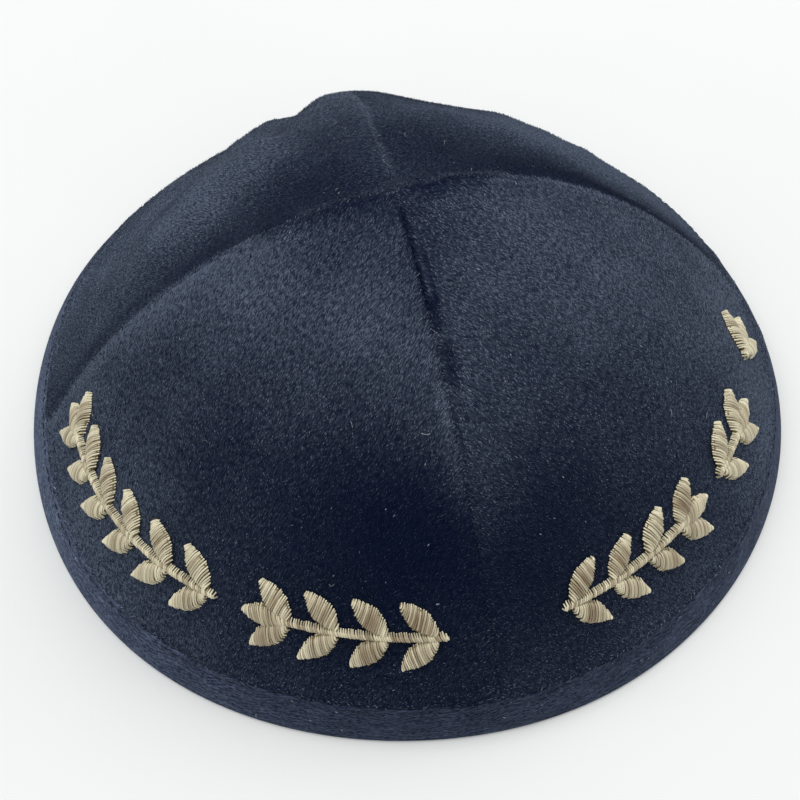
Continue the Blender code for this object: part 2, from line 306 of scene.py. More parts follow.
class Value:
    """A number socket of a node tree, on which sums are written as Python expressions."""

    def __init__(self, graph: "Graph", socket: bpy.types.NodeSocket) -> None:
        """Wrap a socket of a graph."""
        self.graph = graph
        self.socket = socket

    def _sum(self, operation: str, *terms: "Value | float", clamp: bool = False) -> "Value":
        """The result of a Math node.

        Args:
            operation: the Math node's operation.
            terms: its inputs in order.
            clamp: whether the result is kept between 0 and 1.

        Returns:
            The node's result.
        """
        settings = {"operation": operation, "use_clamp": clamp}
        node = self.graph.node("ShaderNodeMath", settings, dict(enumerate(terms)))
        return Value(self.graph, node.outputs[0])

    def __add__(self, other: "Value | float") -> "Value":
        """This plus other."""
        return self._sum("ADD", self, other)

    def __radd__(self, other: float) -> "Value":
        """Other plus this."""
        return self._sum("ADD", other, self)

    def __sub__(self, other: "Value | float") -> "Value":
        """This less other."""
        return self._sum("SUBTRACT", self, other)

    def __rsub__(self, other: float) -> "Value":
        """Other less this."""
        return self._sum("SUBTRACT", other, self)

    def __mul__(self, other: "Value | float") -> "Value":
        """This times other."""
        return self._sum("MULTIPLY", self, other)

    def __rmul__(self, other: float) -> "Value":
        """Other times this."""
        return self._sum("MULTIPLY", other, self)

    def __truediv__(self, other: "Value | float") -> "Value":
        """This over other."""
        return self._sum("DIVIDE", self, other)

    def __rtruediv__(self, other: float) -> "Value":
        """Other over this."""
        return self._sum("DIVIDE", other, self)

    def __pow__(self, other: float) -> "Value":
        """This to a power."""
        return self._sum("POWER", self, other)

    def clamped(self) -> "Value":
        """This, kept between 0 and 1."""
        return self._sum("ADD", self, 0.0, clamp=True)

    def sine(self) -> "Value":
        """The sine of this angle in radians."""
        return self._sum("SINE", self)

    def step(self, low: float, high: float) -> "Value":
        """A soft step from 0 at low to 1 at high."""
        node = self.graph.node("ShaderNodeMapRange", {"interpolation_type": "SMOOTHSTEP"},
                               {"Value": self, "From Min": low, "From Max": high})
        return Value(self.graph, node.outputs[0])


class Graph:
    """A node tree that is filled in from Python."""

    def __init__(self, tree: bpy.types.NodeTree) -> None:
        """Fill in this tree."""
        self.tree = tree

    def node(self, kind: str, settings: dict | None = None,
             inputs: dict | None = None) -> bpy.types.Node:
        """Add a node.

        Args:
            kind: the node's type.
            settings: its properties, which are set first.
            inputs: for each socket, by name or place, a value, a socket or a Value.

        Returns:
            The node.
        """
        node = self.tree.nodes.new(kind)
        for name, value in (settings or {}).items():
            setattr(node, name, value)
        for key, value in (inputs or {}).items():
            source = value.socket if isinstance(value, Value) else value
            if isinstance(source, bpy.types.NodeSocket):
                self.tree.links.new(source, node.inputs[key])
            else:
                node.inputs[key].default_value = source
        return node

    def value(self, kind: str, settings: dict | None = None, inputs: dict | None = None,
              output: int | str = 0) -> Value:
        """Add a node and take one of its outputs as a number."""
        return Value(self, self.node(kind, settings, inputs).outputs[output])

    def vector(self, operation: str, *terms: object) -> bpy.types.NodeSocket:
        """The vector that a Vector Math node makes of its inputs."""
        node = self.node("ShaderNodeVectorMath", {"operation": operation}, dict(enumerate(terms)))
        return node.outputs["Vector"]

    def scaled(self, vector: object, factor: Value | float) -> bpy.types.NodeSocket:
        """A vector times a number."""
        node = self.node("ShaderNodeVectorMath", {"operation": "SCALE"},
                         {0: vector, "Scale": factor})
        return node.outputs["Vector"]

    def blend(self, share: Value, first: object, second: object) -> bpy.types.NodeSocket:
        """The colour at a share of the way from first to second."""
        node = self.node("ShaderNodeMix", {"data_type": "RGBA"}, {0: share, 6: first, 7: second})
        return node.outputs[2]

    def noise(self, vector: object, scale: Value | float, detail: float = 2.0,
              roughness: float = 0.5) -> Value:
        """A noise pattern, of about 0.25 to 0.75."""
        return self.value("ShaderNodeTexNoise", {},
                          {"Vector": vector, "Scale": scale, "Detail": detail,
                           "Roughness": roughness}, "Fac")


class SurfaceGraph(Graph):
    """The node tree of a new material, around its Principled shader."""

    def __init__(self, name: str) -> None:
        """Start a material of this name."""
        self.material = bpy.data.materials.new(name)
        self.material.use_nodes = True
        super().__init__(self.material.node_tree)
        self.shader = self.tree.nodes["Principled BSDF"]

    def constants(self, **sockets: object) -> None:
        """Set sockets of the shader that are the same all over, by name with underscores."""
        for name, value in sockets.items():
            self.shader.inputs[name.replace("_", " ")].default_value = value

    def feed(self, name: str, source: object) -> None:
        """Link a source to a socket of the shader."""
        socket = source.socket if isinstance(source, Value) else source
        self.tree.links.new(socket, self.shader.inputs[name])

    def bump(self, height: Value, distance: float, strength: float = 1.0) -> None:
        """Raise the surface by a height pattern."""
        node = self.node("ShaderNodeBump", {},
                         {"Height": height, "Distance": distance, "Strength": strength})
        self.feed("Normal", node.outputs["Normal"])


def opaque(colour: Colour) -> tuple[float, float, float, float]:
    """A colour with an alpha of 1."""
    return (*colour, 1.0)


@dataclass(frozen=True)
class VelvetFinish:
    """The ground of the velvet between its pile: short streaks that lie along the nap."""

    name: str
    nap: float
    dark: Colour = (0.0006, 0.0034, 0.0170)
    light: Colour = (0.0960, 0.1220, 0.1700)
    streak_length: float = 0.0011
    streak_width: float = 0.00030

    def make(self) -> bpy.types.Material:
        """Make the ground of the velvet.

        Returns:
            The material, which reads the piece's pattern and tone attributes.
        """
        graph = SurfaceGraph(self.name)
        pattern = graph.node("ShaderNodeAttribute", {"attribute_name": "pattern"}).outputs["Vector"]
        # The tone attribute carries painted light and shade as well as the velvet's own lightness.
        tone = graph.value("ShaderNodeAttribute", {"attribute_name": "tone"}, output="Fac")
        turned = graph.node("ShaderNodeMapping", {}, {
            "Vector": pattern, "Rotation": (0.0, 0.0, radians(self.nap))}).outputs[0]
        laid = graph.vector("MULTIPLY", turned,
                            (1 / self.streak_width, 1 / self.streak_length, 1.0))
        streak = graph.noise(laid, 1.0, detail=2.0, roughness=0.6).step(0.38, 0.64)
        patch = graph.noise(pattern, 900.0, detail=2.0).step(0.30, 0.70)
        level = tone ** 1.3 * (0.25 + 0.75 * streak) * (0.60 + 0.60 * patch)
        colour = graph.blend(level.clamped(), opaque(self.dark), opaque(self.light))
        graph.feed("Base Color", colour)
        graph.bump(streak, 0.0003, 0.6)
        graph.constants(Roughness=0.95, Sheen_Weight=0.03, Sheen_Roughness=0.55,
                        Sheen_Tint=opaque((0.45, 0.60, 0.90)), Specular_IOR_Level=0.02)
        return graph.material


@dataclass(frozen=True)
class PileFinish:
    """The standing fibres of the velvet. Their map has the tone across and root to tip up."""

    name: str = "velvet_pile"
    # root: painted shade at the foot of the fibres, deep in the pile.
    root: Colour = (0.0004, 0.0018, 0.0095)
    dark: Colour = (0.0006, 0.0048, 0.0270)
    light: Colour = (0.208, 0.248, 0.330)
    lint: Colour = (0.36, 0.40, 0.45)
    lint_tone: float = 0.97

    def make(self) -> bpy.types.Material:
        """Make the finish.

        Returns:
            The material, which reads the piece's own map.
        """
        graph = SurfaceGraph(self.name)
        place = graph.node("ShaderNodeUVMap", {"uv_map": "OFBake"}).outputs[0]
        split = graph.node("ShaderNodeSeparateXYZ", {}, {0: place})
        # The tone carries painted light and shade as well as each fibre's own lightness.
        tone = Value(graph, split.outputs[0])
        rise = Value(graph, split.outputs[1])
        body = graph.blend(tone ** 1.3, opaque(self.dark), opaque(self.light))
        # The fibres are painted darker towards their roots: painted shade deep in the pile.
        body = graph.blend(rise.step(0.0, 0.6), opaque(self.root), body)
        pale = tone.step(self.lint_tone - 0.01, self.lint_tone)
        graph.feed("Base Color", graph.blend(pale, body, opaque(self.lint)))
        graph.constants(Roughness=0.55, Sheen_Weight=0.04, Sheen_Roughness=0.5,
                        Sheen_Tint=opaque((0.45, 0.60, 0.90)), Specular_IOR_Level=0.03)
        return graph.material


@dataclass(frozen=True)
class ClothBackFinish:
    """The plain woven back of the velvet, seen inside the cap."""

    name: str = "velvet_back"
    dark: Colour = (0.0050, 0.0065, 0.0120)
    light: Colour = (0.0180, 0.0210, 0.0320)
    thread: float = 0.00045

    def make(self) -> bpy.types.Material:
        """Make the plain weave.

        Returns:
            The material, which reads the piece's pattern attribute.
        """
        graph = SurfaceGraph(self.name)
        pattern = graph.node("ShaderNodeAttribute", {"attribute_name": "pattern"}).outputs["Vector"]
        split = graph.node("ShaderNodeSeparateXYZ", {}, {0: pattern})
        turn = pi / self.thread
        warp = (Value(graph, split.outputs[0]) * turn).sine()
        weft = (Value(graph, split.outputs[1]) * turn).sine()
        weave = warp * weft * 0.5 + 0.5
        uneven = graph.noise(pattern, 420.0, detail=4.0)
        level = (weave * 0.7 + uneven * 0.6 - 0.15).clamped()
        graph.feed("Base Color", graph.blend(level, opaque(self.dark), opaque(self.light)))
        graph.bump(weave, 0.00012, 0.8)
        graph.constants(Roughness=0.85, Specular_IOR_Level=0.25)
        return graph.material


@dataclass(frozen=True)
class TapeFinish:
    """Twill tape with fine lines that lie at a low angle to its edge."""

    name: str = "twill_tape"
    dark: Colour = (0.0018, 0.0036, 0.0160)
    light: Colour = (0.122, 0.156, 0.236)
    line_pitch: float = 0.00075
    slope: float = 0.32

    def make(self) -> bpy.types.Material:
        """Make the twill.

        Returns:
            The material, which reads the piece's pattern and tone attributes.
        """
        graph = SurfaceGraph(self.name)
        pattern = graph.node("ShaderNodeAttribute", {"attribute_name": "pattern"}).outputs["Vector"]
        split = graph.node("ShaderNodeSeparateXYZ", {}, {0: pattern})
        along = Value(graph, split.outputs[0])
        across = Value(graph, split.outputs[1])
        uneven = graph.noise(pattern, 700.0, detail=3.0, roughness=0.6)
        phase = (across + along * self.slope) * (tau / self.line_pitch) + uneven * 9.0
        lines = phase.sine() * 0.5 + 0.5
        fibre = graph.noise(graph.vector("MULTIPLY", pattern, (1100.0, 2600.0, 1.0)), 1.0, 3.0)
        slub = graph.noise(graph.vector("MULTIPLY", pattern, (260.0, 1500.0, 1.0)), 1.0, 2.0)
        worn = graph.noise(pattern, 130.0, detail=3.0)
        # The tone attribute is painted light and sheen, lighter on the tape's sides and back than
        # at its front.
        painted_sheen = graph.value("ShaderNodeAttribute", {"attribute_name": "tone"}, output="Fac")
        level = lines * 0.13 + fibre.step(0.35, 0.7) * 0.42 + slub.step(0.4, 0.7) * 0.26
        level = level * (0.4 + worn * 0.9) * painted_sheen
        colour = graph.blend(level.clamped(), opaque(self.dark), opaque(self.light))
        graph.feed("Base Color", colour)
        graph.bump(lines * 0.35 + fibre * 0.8, 0.00020, 0.9)
        graph.constants(Roughness=0.85, Sheen_Weight=0.08, Sheen_Roughness=0.45,
                        Sheen_Tint=opaque((0.55, 0.68, 0.90)), Specular_IOR_Level=0.05)
        return graph.material


@dataclass(frozen=True)
class ThreadFinish:
    """Glossy thread. Its map has the tone across and the way along a stitch up."""

    name: str
    dark: Colour
    light: Colour
    roughness: float = 0.34
    gloss: float = 0.5

    def make(self) -> bpy.types.Material:
        """Make the finish.

        Returns:
            The material, which reads the piece's own map.
        """
        graph = SurfaceGraph(self.name)
        place = graph.node("ShaderNodeUVMap", {"uv_map": "OFBake"}).outputs[0]
        split = graph.node("ShaderNodeSeparateXYZ", {}, {0: place})
        tone = Value(graph, split.outputs[0])
        along = Value(graph, split.outputs[1])
        # Each stitch is painted lighter towards both its ends: a painted glint where the thread
        # curves down.
        ends = 1.0 - (along * pi).sine()
        level = (tone * 0.85 + ends * ends * 0.55).clamped()
        graph.feed("Base Color", graph.blend(level, opaque(self.dark), opaque(self.light)))
        graph.constants(Roughness=self.roughness, Specular_IOR_Level=self.gloss)
        return graph.material


@dataclass(frozen=True)
class FloorFinish:
    """A pale matt floor."""

    name: str = "pale_floor"
    dark: Colour = (0.80, 0.815, 0.80)
    light: Colour = (0.87, 0.88, 0.865)

    def make(self) -> bpy.types.Material:
        """Make the floor's finish.

        Returns:
            The material, nearly even, on Object coordinates.
        """
        graph = SurfaceGraph(self.name)
        place = graph.node("ShaderNodeTexCoord").outputs["Object"]
        cloudy = graph.noise(place, 6.0, detail=3.0)
        graph.feed("Base Color", graph.blend(cloudy, opaque(self.dark), opaque(self.light)))
        graph.constants(Roughness=0.8, Specular_IOR_Level=0.2)
        return graph.material


class CrownForm:
    """The cap's outer face: a table of its profiles, and the rule that settles soft cloth."""

    TABLE_TURN = radians(0.25)
    STEPS = 240
    FAR = 10.0

    def __init__(self) -> None:
        """Work out the table: for each azimuth, points from below the rim to the crown."""
        self.count = round(tau / self.TABLE_TURN)
        azimuths = np.arange(self.count) * self.TABLE_TURN
        roundness, fullness = self.shape(azimuths)
        share = np.cos(np.linspace(0, pi / 2, self.STEPS))
        radius = np.broadcast_to(RIM_RADIUS * share, (self.count, self.STEPS))
        rise = np.clip(1 - share ** roundness[:, None], 0, 1)
        height = CROWN_HEIGHT * rise ** fullness[:, None]
        below = 2 * CLOTH_WALL
        lean = np.hypot(radius[:, 0] - radius[:, 1], height[:, 1])
        first_radius = radius[:, 0] + below * (radius[:, 0] - radius[:, 1]) / lean
        first_height = -below * height[:, 1] / lean
        self.radius = np.column_stack([first_radius, radius])
        self.height = np.column_stack([first_height, height])
        steps = np.hypot(np.diff(self.radius, axis=1), np.diff(self.height, axis=1))
        self.from_rim = np.column_stack([np.zeros(self.count), np.cumsum(steps, axis=1)]) - below
        out = np.gradient(self.height, axis=1)
        up = -np.gradient(self.radius, axis=1)
        size = np.hypot(out, up)
        self.out = out / size
        self.up = up / size
        self.key = (self.from_rim + np.arange(self.count)[:, None] * self.FAR).ravel()
        self.grounds: dict[float, Numbers] = {}

    @staticmethod
    def shape(azimuths: Numbers) -> tuple[Numbers, Numbers]:
        """Roundness and fullness of the crown's profile at azimuths in radians.

        Args:
            azimuths: in radians.

        Returns:
            How round and how full the crown's profile is at each of them.
        """
        starts = np.radians([seam.azimuth for seam in SEAMS])
        passed = (azimuths[:, None] - starts + 1e-9) % tau
        index = passed.argmin(axis=1)
        following = (index + 1) % len(SEAMS)
        span = (starts[following] - starts[index]) % tau
        share = np.clip(passed.min(axis=1) / span, 0, 1)
        creases = np.array([seam.crease for seam in SEAMS])
        crease = np.where(share < 0.5, creases[index], creases[following])
        openness = np.sin(pi * share) ** crease
        eased = share * share * (3 - 2 * share)
        result = []
        for trait in ("roundness", "fullness"):
            at_seam = np.array([getattr(seam, trait) for seam in SEAMS])
            in_gore = np.array([getattr(gore, trait) for gore in GORES])
            edge = mix(at_seam[index], at_seam[following], eased)
            result.append(mix(edge, in_gore[index], openness))
        return result[0], result[1]

    def _around(self, azimuth: Numbers) -> list[tuple[Numbers, Numbers]]:
        """The two rows of the table beside each azimuth, with their weights.

        Args:
            azimuth: in radians.

        Returns:
            Twice the numbers of a row for each azimuth, with the row's weights.
        """
        place = (azimuth % tau) / self.TABLE_TURN
        low = np.floor(place + 1e-7).astype(int)
        share = np.clip(place - low, 0, 1)
        return [(low % self.count, 1 - share), ((low + 1) % self.count, share)]

    def profile(self, azimuth: Numbers, from_rim: Numbers,
                offset: Numbers) -> tuple[Numbers, Numbers]:
        """Distance from the axis and height of points on the true round cap.

        Args:
            azimuth: in radians.
            from_rim: distance from the rim along the cloth.
            offset: distance outwards from the cloth's face.

        Returns:
            The distances from the axis and the heights.
        """
        azimuth, from_rim, offset = np.broadcast_arrays(azimuth, from_rim, offset)
        radius = np.zeros(azimuth.shape)
        height = np.zeros(azimuth.shape)
        for row, weight in self._around(azimuth):
            key = row * self.FAR + from_rim
            radius += weight * np.interp(key, self.key, self.radius.ravel())
            radius += weight * offset * np.interp(key, self.key, self.out.ravel())
            height += weight * np.interp(key, self.key, self.height.ravel())
            height += weight * offset * np.interp(key, self.key, self.up.ravel())
        return radius, height

    def length(self, azimuth: Numbers) -> Numbers:
        """How far the crown's top lies from the rim along the cloth."""
        azimuth = np.asarray(azimuth, float)
        return sum(weight * self.from_rim[row, -1] for row, weight in self._around(azimuth))

    def ground(self, azimuth: Numbers, offset: float) -> Numbers:
        """Where the line at an offset meets the ground, as a distance from the rim.

        Args:
            azimuth: in radians.
            offset: distance outwards from the cloth's face.

        Returns:
            The distances from the rim along the cloth.
        """
        if offset not in self.grounds:
            levels = self.height + offset * self.up
            pairs = zip(levels, self.from_rim)
            self.grounds[offset] = np.array([np.interp(0, *pair) for pair in pairs])
        table = self.grounds[offset]
        azimuth = np.asarray(azimuth, float)
        return sum(weight * table[row] for row, weight in self._around(azimuth))

    @staticmethod
    def upright(azimuth: Numbers, radius: Numbers, height: Numbers) -> Numbers:
        """Points at distances from the axis, heights and azimuths."""
        return np.stack([radius * np.cos(azimuth), radius * np.sin(azimuth), height], axis=-1)

    @staticmethod
    def settle(points: Numbers) -> Numbers:
        """Where points of the true round cap lie when the soft cap stands on its rim.

        Args:
            points: points of the true round cap.

        Returns:
            The same points on the standing cap.
        """
        x = points[..., 0] / RIM_RADIUS
        y = points[..., 1] / RIM_RADIUS
        raised = points[..., 2] / CROWN_HEIGHT
        lift = np.zeros(x.shape)
        for fold in FOLDS:
            run_x = fold.end_x - fold.start_x
            run_y = fold.end_y - fold.start_y
            run = hypot(run_x, run_y)
            along = ((x - fold.start_x) * run_x + (y - fold.start_y) * run_y) / run ** 2
            along = np.clip(along, 0, 1)
            aside = ((y - fold.start_y) * run_x - (x - fold.start_x) * run_y) / run
            aside = aside - 4 * fold.bow * along * (1 - along)
            fade = 1 - (2 * along - 1) ** 4
            lift += fold.height * CROWN_HEIGHT * fade * bell(aside, fold.width)
        lift *= np.maximum(0, 1 - np.hypot(x, y) ** 6)
        wave = np.zeros(x.shape)
        for rim_wave in RIM_WAVES:
            turn = (np.arctan2(y, x) - radians(rim_wave.azimuth) + pi) % tau - pi
            wave += rim_wave.share * bell(turn, radians(rim_wave.half_width))
        grow = 1 + wave * np.maximum(0, 1 - raised)
        lean = RIM_RADIUS * raised
        return np.stack([
            points[..., 0] * grow + LEAN_X * lean,
            points[..., 1] * grow + LEAN_Y * lean,
            points[..., 2] + lift,
        ], axis=-1)

    def place(self, azimuth: Numbers, from_rim: Numbers, offset: Numbers) -> Numbers:
        """Points on the standing cap, from their azimuth, distance from the rim and offset."""
        radius, height = self.profile(azimuth, from_rim, offset)
        return self.settle(self.upright(np.broadcast_to(azimuth, radius.shape), radius, height))


@dataclass
class Piece:
    """A mesh in the making: points, faces and what each point carries."""

    name: str
    points: Numbers
    faces: list
    edges: list = field(default_factory=list)
    carried: dict = field(default_factory=dict)
    skins: list = field(default_factory=list)

    def make(self, weld: bool = True) -> bpy.types.Object:
        """Make the object.

        Args:
            weld: whether points in one place are merged and the faces turned outwards.

        Returns:
            The object, linked to the scene.
        """
        data = bpy.data.meshes.new(self.name)
        data.from_pydata(self.points.reshape(-1, 3).tolist(), self.edges, self.faces)
        for name, values in self.carried.items():
            flat = np.asarray(values, np.float32)
            kind, key = ("FLOAT_VECTOR", "vector") if flat.shape[-1] == 3 else ("FLOAT", "value")
            attribute = data.attributes.new(name, kind, "POINT")
            attribute.data.foreach_set(key, flat.ravel())
        if self.skins:
            data.polygons.foreach_set("material_index", self.skins)
        if weld:
            mesh = bmesh.new()
            mesh.from_mesh(data)
            bmesh.ops.remove_doubles(mesh, verts=mesh.verts, dist=WELD_DISTANCE)
            bmesh.ops.recalc_face_normals(mesh, faces=mesh.faces)
            mesh.to_mesh(data)
            mesh.free()
        if self.faces:
            data.shade_smooth()
        result = bpy.data.objects.new(self.name, data)
        bpy.context.scene.collection.objects.link(result)
        return result


def grid_faces(columns: int, rows: int, first: int = 0, wrap: bool = False) -> list:
    """Four-sided faces of a grid of points that runs down each column in turn.

    Args:
        columns: how many columns of points.
        rows: how many points in a column.
        first: the number of the grid's first point.
        wrap: whether the last column joins the first.

    Returns:
        The faces, as lists of point numbers.
    """
    column, row = np.meshgrid(np.arange(columns if wrap else columns - 1), np.arange(rows - 1),
                              indexing="ij")
    low = column * rows + row
    side = (column + 1) % columns * rows + row
    faces = np.stack([low, low + 1, side + 1, side], axis=-1).reshape(-1, 4) + first
    return faces.tolist()


def wall_faces(columns: int, rows: int) -> tuple[list, list]:
    """Faces of two grids of the same size joined round their edges, and the skin of each.

    Args:
        columns: how many columns of points each grid has.
        rows: how many points in a column.

    Returns:
        The faces, as lists of point numbers, and the place of each face's material.
    """
    front = grid_faces(columns, rows)
    back = [face[::-1] for face in grid_faces(columns, rows, columns * rows)]
    down = [column * rows + rows - 1 for column in range(columns)]
    right = [(columns - 1) * rows + row for row in range(rows - 1, -1, -1)]
    top = [column * rows for column in range(columns - 1, -1, -1)]
    left = list(range(rows))
    ring = left + down[1:] + right[1:] + top[1:]
    rim = [[a, a + columns * rows, b + columns * rows, b] for a, b in zip(ring, ring[1:])]
    skins = [Skin.FACE.value] * len(front) + [Skin.BACK.value] * len(back)
    return front + back + rim, skins + [Skin.FACE.value] * len(rim)


class GrowthTree(Graph):
    """A Geometry Nodes tree with named inputs, run once over an object to make a plain mesh."""

    def __init__(self, name: str, sockets: dict[str, str]) -> None:
        """Start a tree.

        Args:
            name: the tree's name.
            sockets: the type of each of its inputs after the geometry, by name.
        """
        super().__init__(bpy.data.node_groups.new(name, "GeometryNodeTree"))
        self.identifiers: dict[str, str] = {}
        for socket, kind in {"Geometry": "NodeSocketGeometry", **sockets}.items():
            made = self.tree.interface.new_socket(socket, in_out="INPUT", socket_type=kind)
            self.identifiers[socket] = made.identifier
        self.tree.interface.new_socket("Geometry", in_out="OUTPUT",
                                       socket_type="NodeSocketGeometry")
        self.given = self.node("NodeGroupInput")

    def given_value(self, name: str) -> Value:
        """One of the tree's inputs as a number."""
        return Value(self, self.given.outputs[name])

    def named(self, name: str, kind: str = "FLOAT") -> Value:
        """An attribute of the geometry."""
        return self.value("GeometryNodeInputNamedAttribute", {"data_type": kind}, {"Name": name})

    def random(self, low: float, high: float, seed: object) -> Value:
        """A random number for each element."""
        return self.value("FunctionNodeRandomValue", {"data_type": "FLOAT"},
                          {2: low, 3: high, "Seed": seed}, 1)

    def random_vector(self, reach: float, seed: object) -> bpy.types.NodeSocket:
        """A random vector for each element, each part of it from minus to plus reach."""
        node = self.node("FunctionNodeRandomValue", {"data_type": "FLOAT_VECTOR"},
                         {0: (-reach,) * 3, 1: (reach,) * 3, "Seed": seed})
        return node.outputs[0]

    def store(self, geometry: object, name: str, value: object, kind: str = "FLOAT",
              domain: str = "POINT") -> bpy.types.NodeSocket:
        """Keep a value as a named attribute of the geometry."""
        node = self.node("GeometryNodeStoreNamedAttribute", {"data_type": kind, "domain": domain},
                         {"Geometry": geometry, "Name": name, "Value": value})
        return node.outputs[0]

    def store_map(self, geometry: object, across: Value, up: Value) -> bpy.types.NodeSocket:
        """Give the geometry its own map from two numbers."""
        place = self.node("ShaderNodeCombineXYZ", {}, {0: across, 1: up}).outputs[0]
        return self.store(geometry, "OFBake", place, "FLOAT2", "CORNER")

    def end(self, geometry: object, smooth: bool) -> None:
        """Realize the instances, set the shading and the material, and close the tree.

        Args:
            geometry: what the tree has made.
            smooth: whether its faces are shaded smooth.
        """
        realized = self.node("GeometryNodeRealizeInstances", {}, {"Geometry": geometry})
        mapped = self.store_map(realized.outputs[0], self.named("tone"), self.named("rise"))
        shaded = self.node("GeometryNodeSetShadeSmooth", {},
                           {"Geometry": mapped, "Shade Smooth": smooth})
        finished = self.node("GeometryNodeSetMaterial", {}, {
            "Geometry": shaded.outputs[0], "Material": self.given.outputs["Material"]})
        self.node("NodeGroupOutput", {}, {"Geometry": finished.outputs[0]})

    def grow(self, base: bpy.types.Object, name: str, values: dict) -> bpy.types.Object:
        """Run the tree over an object, which is then removed.

        Args:
            base: the object that the tree starts from.
            name: the name of the new piece.
            values: the tree's inputs by name.

        Returns:
            The result as a plain mesh object.
        """
        modifier = base.modifiers.new("grow", "NODES")
        modifier.node_group = self.tree
        for socket, value in values.items():
            modifier[self.identifiers[socket]] = value
        evaluated = base.evaluated_get(bpy.context.evaluated_depsgraph_get())
        data = bpy.data.meshes.new_from_object(evaluated)
        data.name = name
        base.modifiers.remove(modifier)
        bpy.data.objects.remove(base)
        result = bpy.data.objects.new(name, data)
        bpy.context.scene.collection.objects.link(result)
        return result


class PileTree(GrowthTree):
    """Stands short fibres on a bed, leaning the way the bed's nap runs."""

    BRUSHED_NEAR = 0.0012
    BRUSHED_FAR = 0.0045
    BRUSHED_SCALE = 330.0

    def __init__(self) -> None:
        """Build the tree."""
        super().__init__("stand_pile", {
            "Density": "NodeSocketFloat", "Length": "NodeSocketFloat",
            "Width": "NodeSocketFloat", "Lean": "NodeSocketFloat", "Ruffle": "NodeSocketFloat",
            "Sunk": "NodeSocketFloat", "Tuft": "NodeSocketFloat", "Lint": "NodeSocketFloat",
            "Unevenness": "NodeSocketFloat", "Stitching": "NodeSocketObject",
            "Clear of stitching": "NodeSocketFloat", "Seed": "NodeSocketInt",
            "Material": "NodeSocketMaterial"})
        given = self.given.outputs
        spread = self.node("GeometryNodeDistributePointsOnFaces", {"distribute_method": "RANDOM"}, {
            "Mesh": given["Geometry"], "Seed": given["Seed"],
            "Density": self.given_value("Density") * self.named("cover")})
        stitching = self.node("GeometryNodeObjectInfo", {}, {"Object": given["Stitching"]})
        near = self.node("GeometryNodeProximity", {}, {"Geometry": stitching.outputs["Geometry"]})
        covered = self.node("FunctionNodeCompare", {"operation": "LESS_THAN"}, {
            0: near.outputs["Distance"], 1: given["Clear of stitching"]})
        kept = self.node("GeometryNodeDeleteGeometry", {}, {
            "Geometry": spread.outputs["Points"], "Selection": covered.outputs[0]})
        brushed = self.brushed(Value(self, near.outputs["Distance"]))
        upright = spread.outputs["Normal"]
        lean = self.given_value("Lean") + self.random(-0.16, 0.16, 11)
        along = self.scaled(self.named("nap", "FLOAT_VECTOR").socket, lean.sine())
        rise = self.scaled(upright, (lean + pi / 2).sine())
        ruffle = self.given_value("Ruffle") * (1.0 + self.named("wild") + brushed)
        wild = self.scaled(self.random_vector(1.0, 12), ruffle)
        direction = self.vector("ADD", self.vector("ADD", along, rise), wild)
        turned = self.node("FunctionNodeAlignRotationToVector", {"axis": "Z"},
                           {"Vector": direction})
        width = self.given_value("Width") * self.random(0.7, 1.3, 13)
        length = self.given_value("Length") * self.random(0.65, 1.25, 14)
        scale = self.node("ShaderNodeCombineXYZ", {}, {0: width, 1: width, 2: length})
        root = self.scaled(upright, 0.0 - self.given_value("Sunk"))
        sunk = self.node("GeometryNodeSetPosition", {},
                         {"Geometry": kept.outputs[0], "Offset": root})
        toned = self.store(sunk.outputs[0], "tone", self.fibre_tone(brushed))
        cone = self.node("GeometryNodeMeshCone", {"fill_type": "NGON"}, {
            "Vertices": 3, "Radius Top": 0.0, "Radius Bottom": 0.5, "Depth": 1.0})
        height = self.node("ShaderNodeSeparateXYZ", {},
                           {0: self.node("GeometryNodeInputPosition").outputs[0]})
        strand = self.store(cone.outputs[0], "rise", height.outputs[2])
        stood = self.node("GeometryNodeInstanceOnPoints", {}, {
            "Points": toned, "Instance": strand, "Rotation": turned.outputs[0],
            "Scale": scale.outputs[0]})
        self.end(stood.outputs[0], smooth=False)

    def brushed(self, distance: Value) -> Value:
        """Where the pile round the stitching is brushed up: in patches, close to the threads.

        Args:
            distance: how far a fibre stands from the threads.

        Returns:
            How far the fibre is brushed up, from 0 to 1.
        """
        place = self.node("GeometryNodeInputPosition").outputs[0]
        patch = self.noise(place, self.BRUSHED_SCALE, detail=1.0).step(0.48, 0.66)
        return (1.0 - distance.step(self.BRUSHED_NEAR, self.BRUSHED_FAR)) * patch

    def fibre_tone(self, brushed: Value) -> Value:
        """The tone of each fibre: the bed's tone, uneven from tuft to tuft, and rare pale lint.

        Args:
            brushed: how far the fibre is brushed up, from 0 to 1.

        Returns:
            The tone, from 0 to 1.
        """
        place = self.node("GeometryNodeInputPosition").outputs[0]
        tuft = self.noise(place, 1.0 / self.given_value("Tuft"), detail=1.0)
        chance = self.random(0.0, 1.0, 15)
        tone = self.named("tone") * (0.72 + 0.56 * tuft.step(0.32, 0.68)) * (1.0 + 0.7 * brushed)
        tone = tone * (1.0 + self.given_value("Unevenness") * (chance * chance - 0.36))
        below_lint = self.value("ShaderNodeMath", {"operation": "MINIMUM"}, {0: tone, 1: 0.94})
        lint = self.value("ShaderNodeMath", {"operation": "LESS_THAN"},
                          {0: self.random(0.0, 1.0, 16), 1: self.given.outputs["Lint"]})
        return (below_lint + lint).clamped()


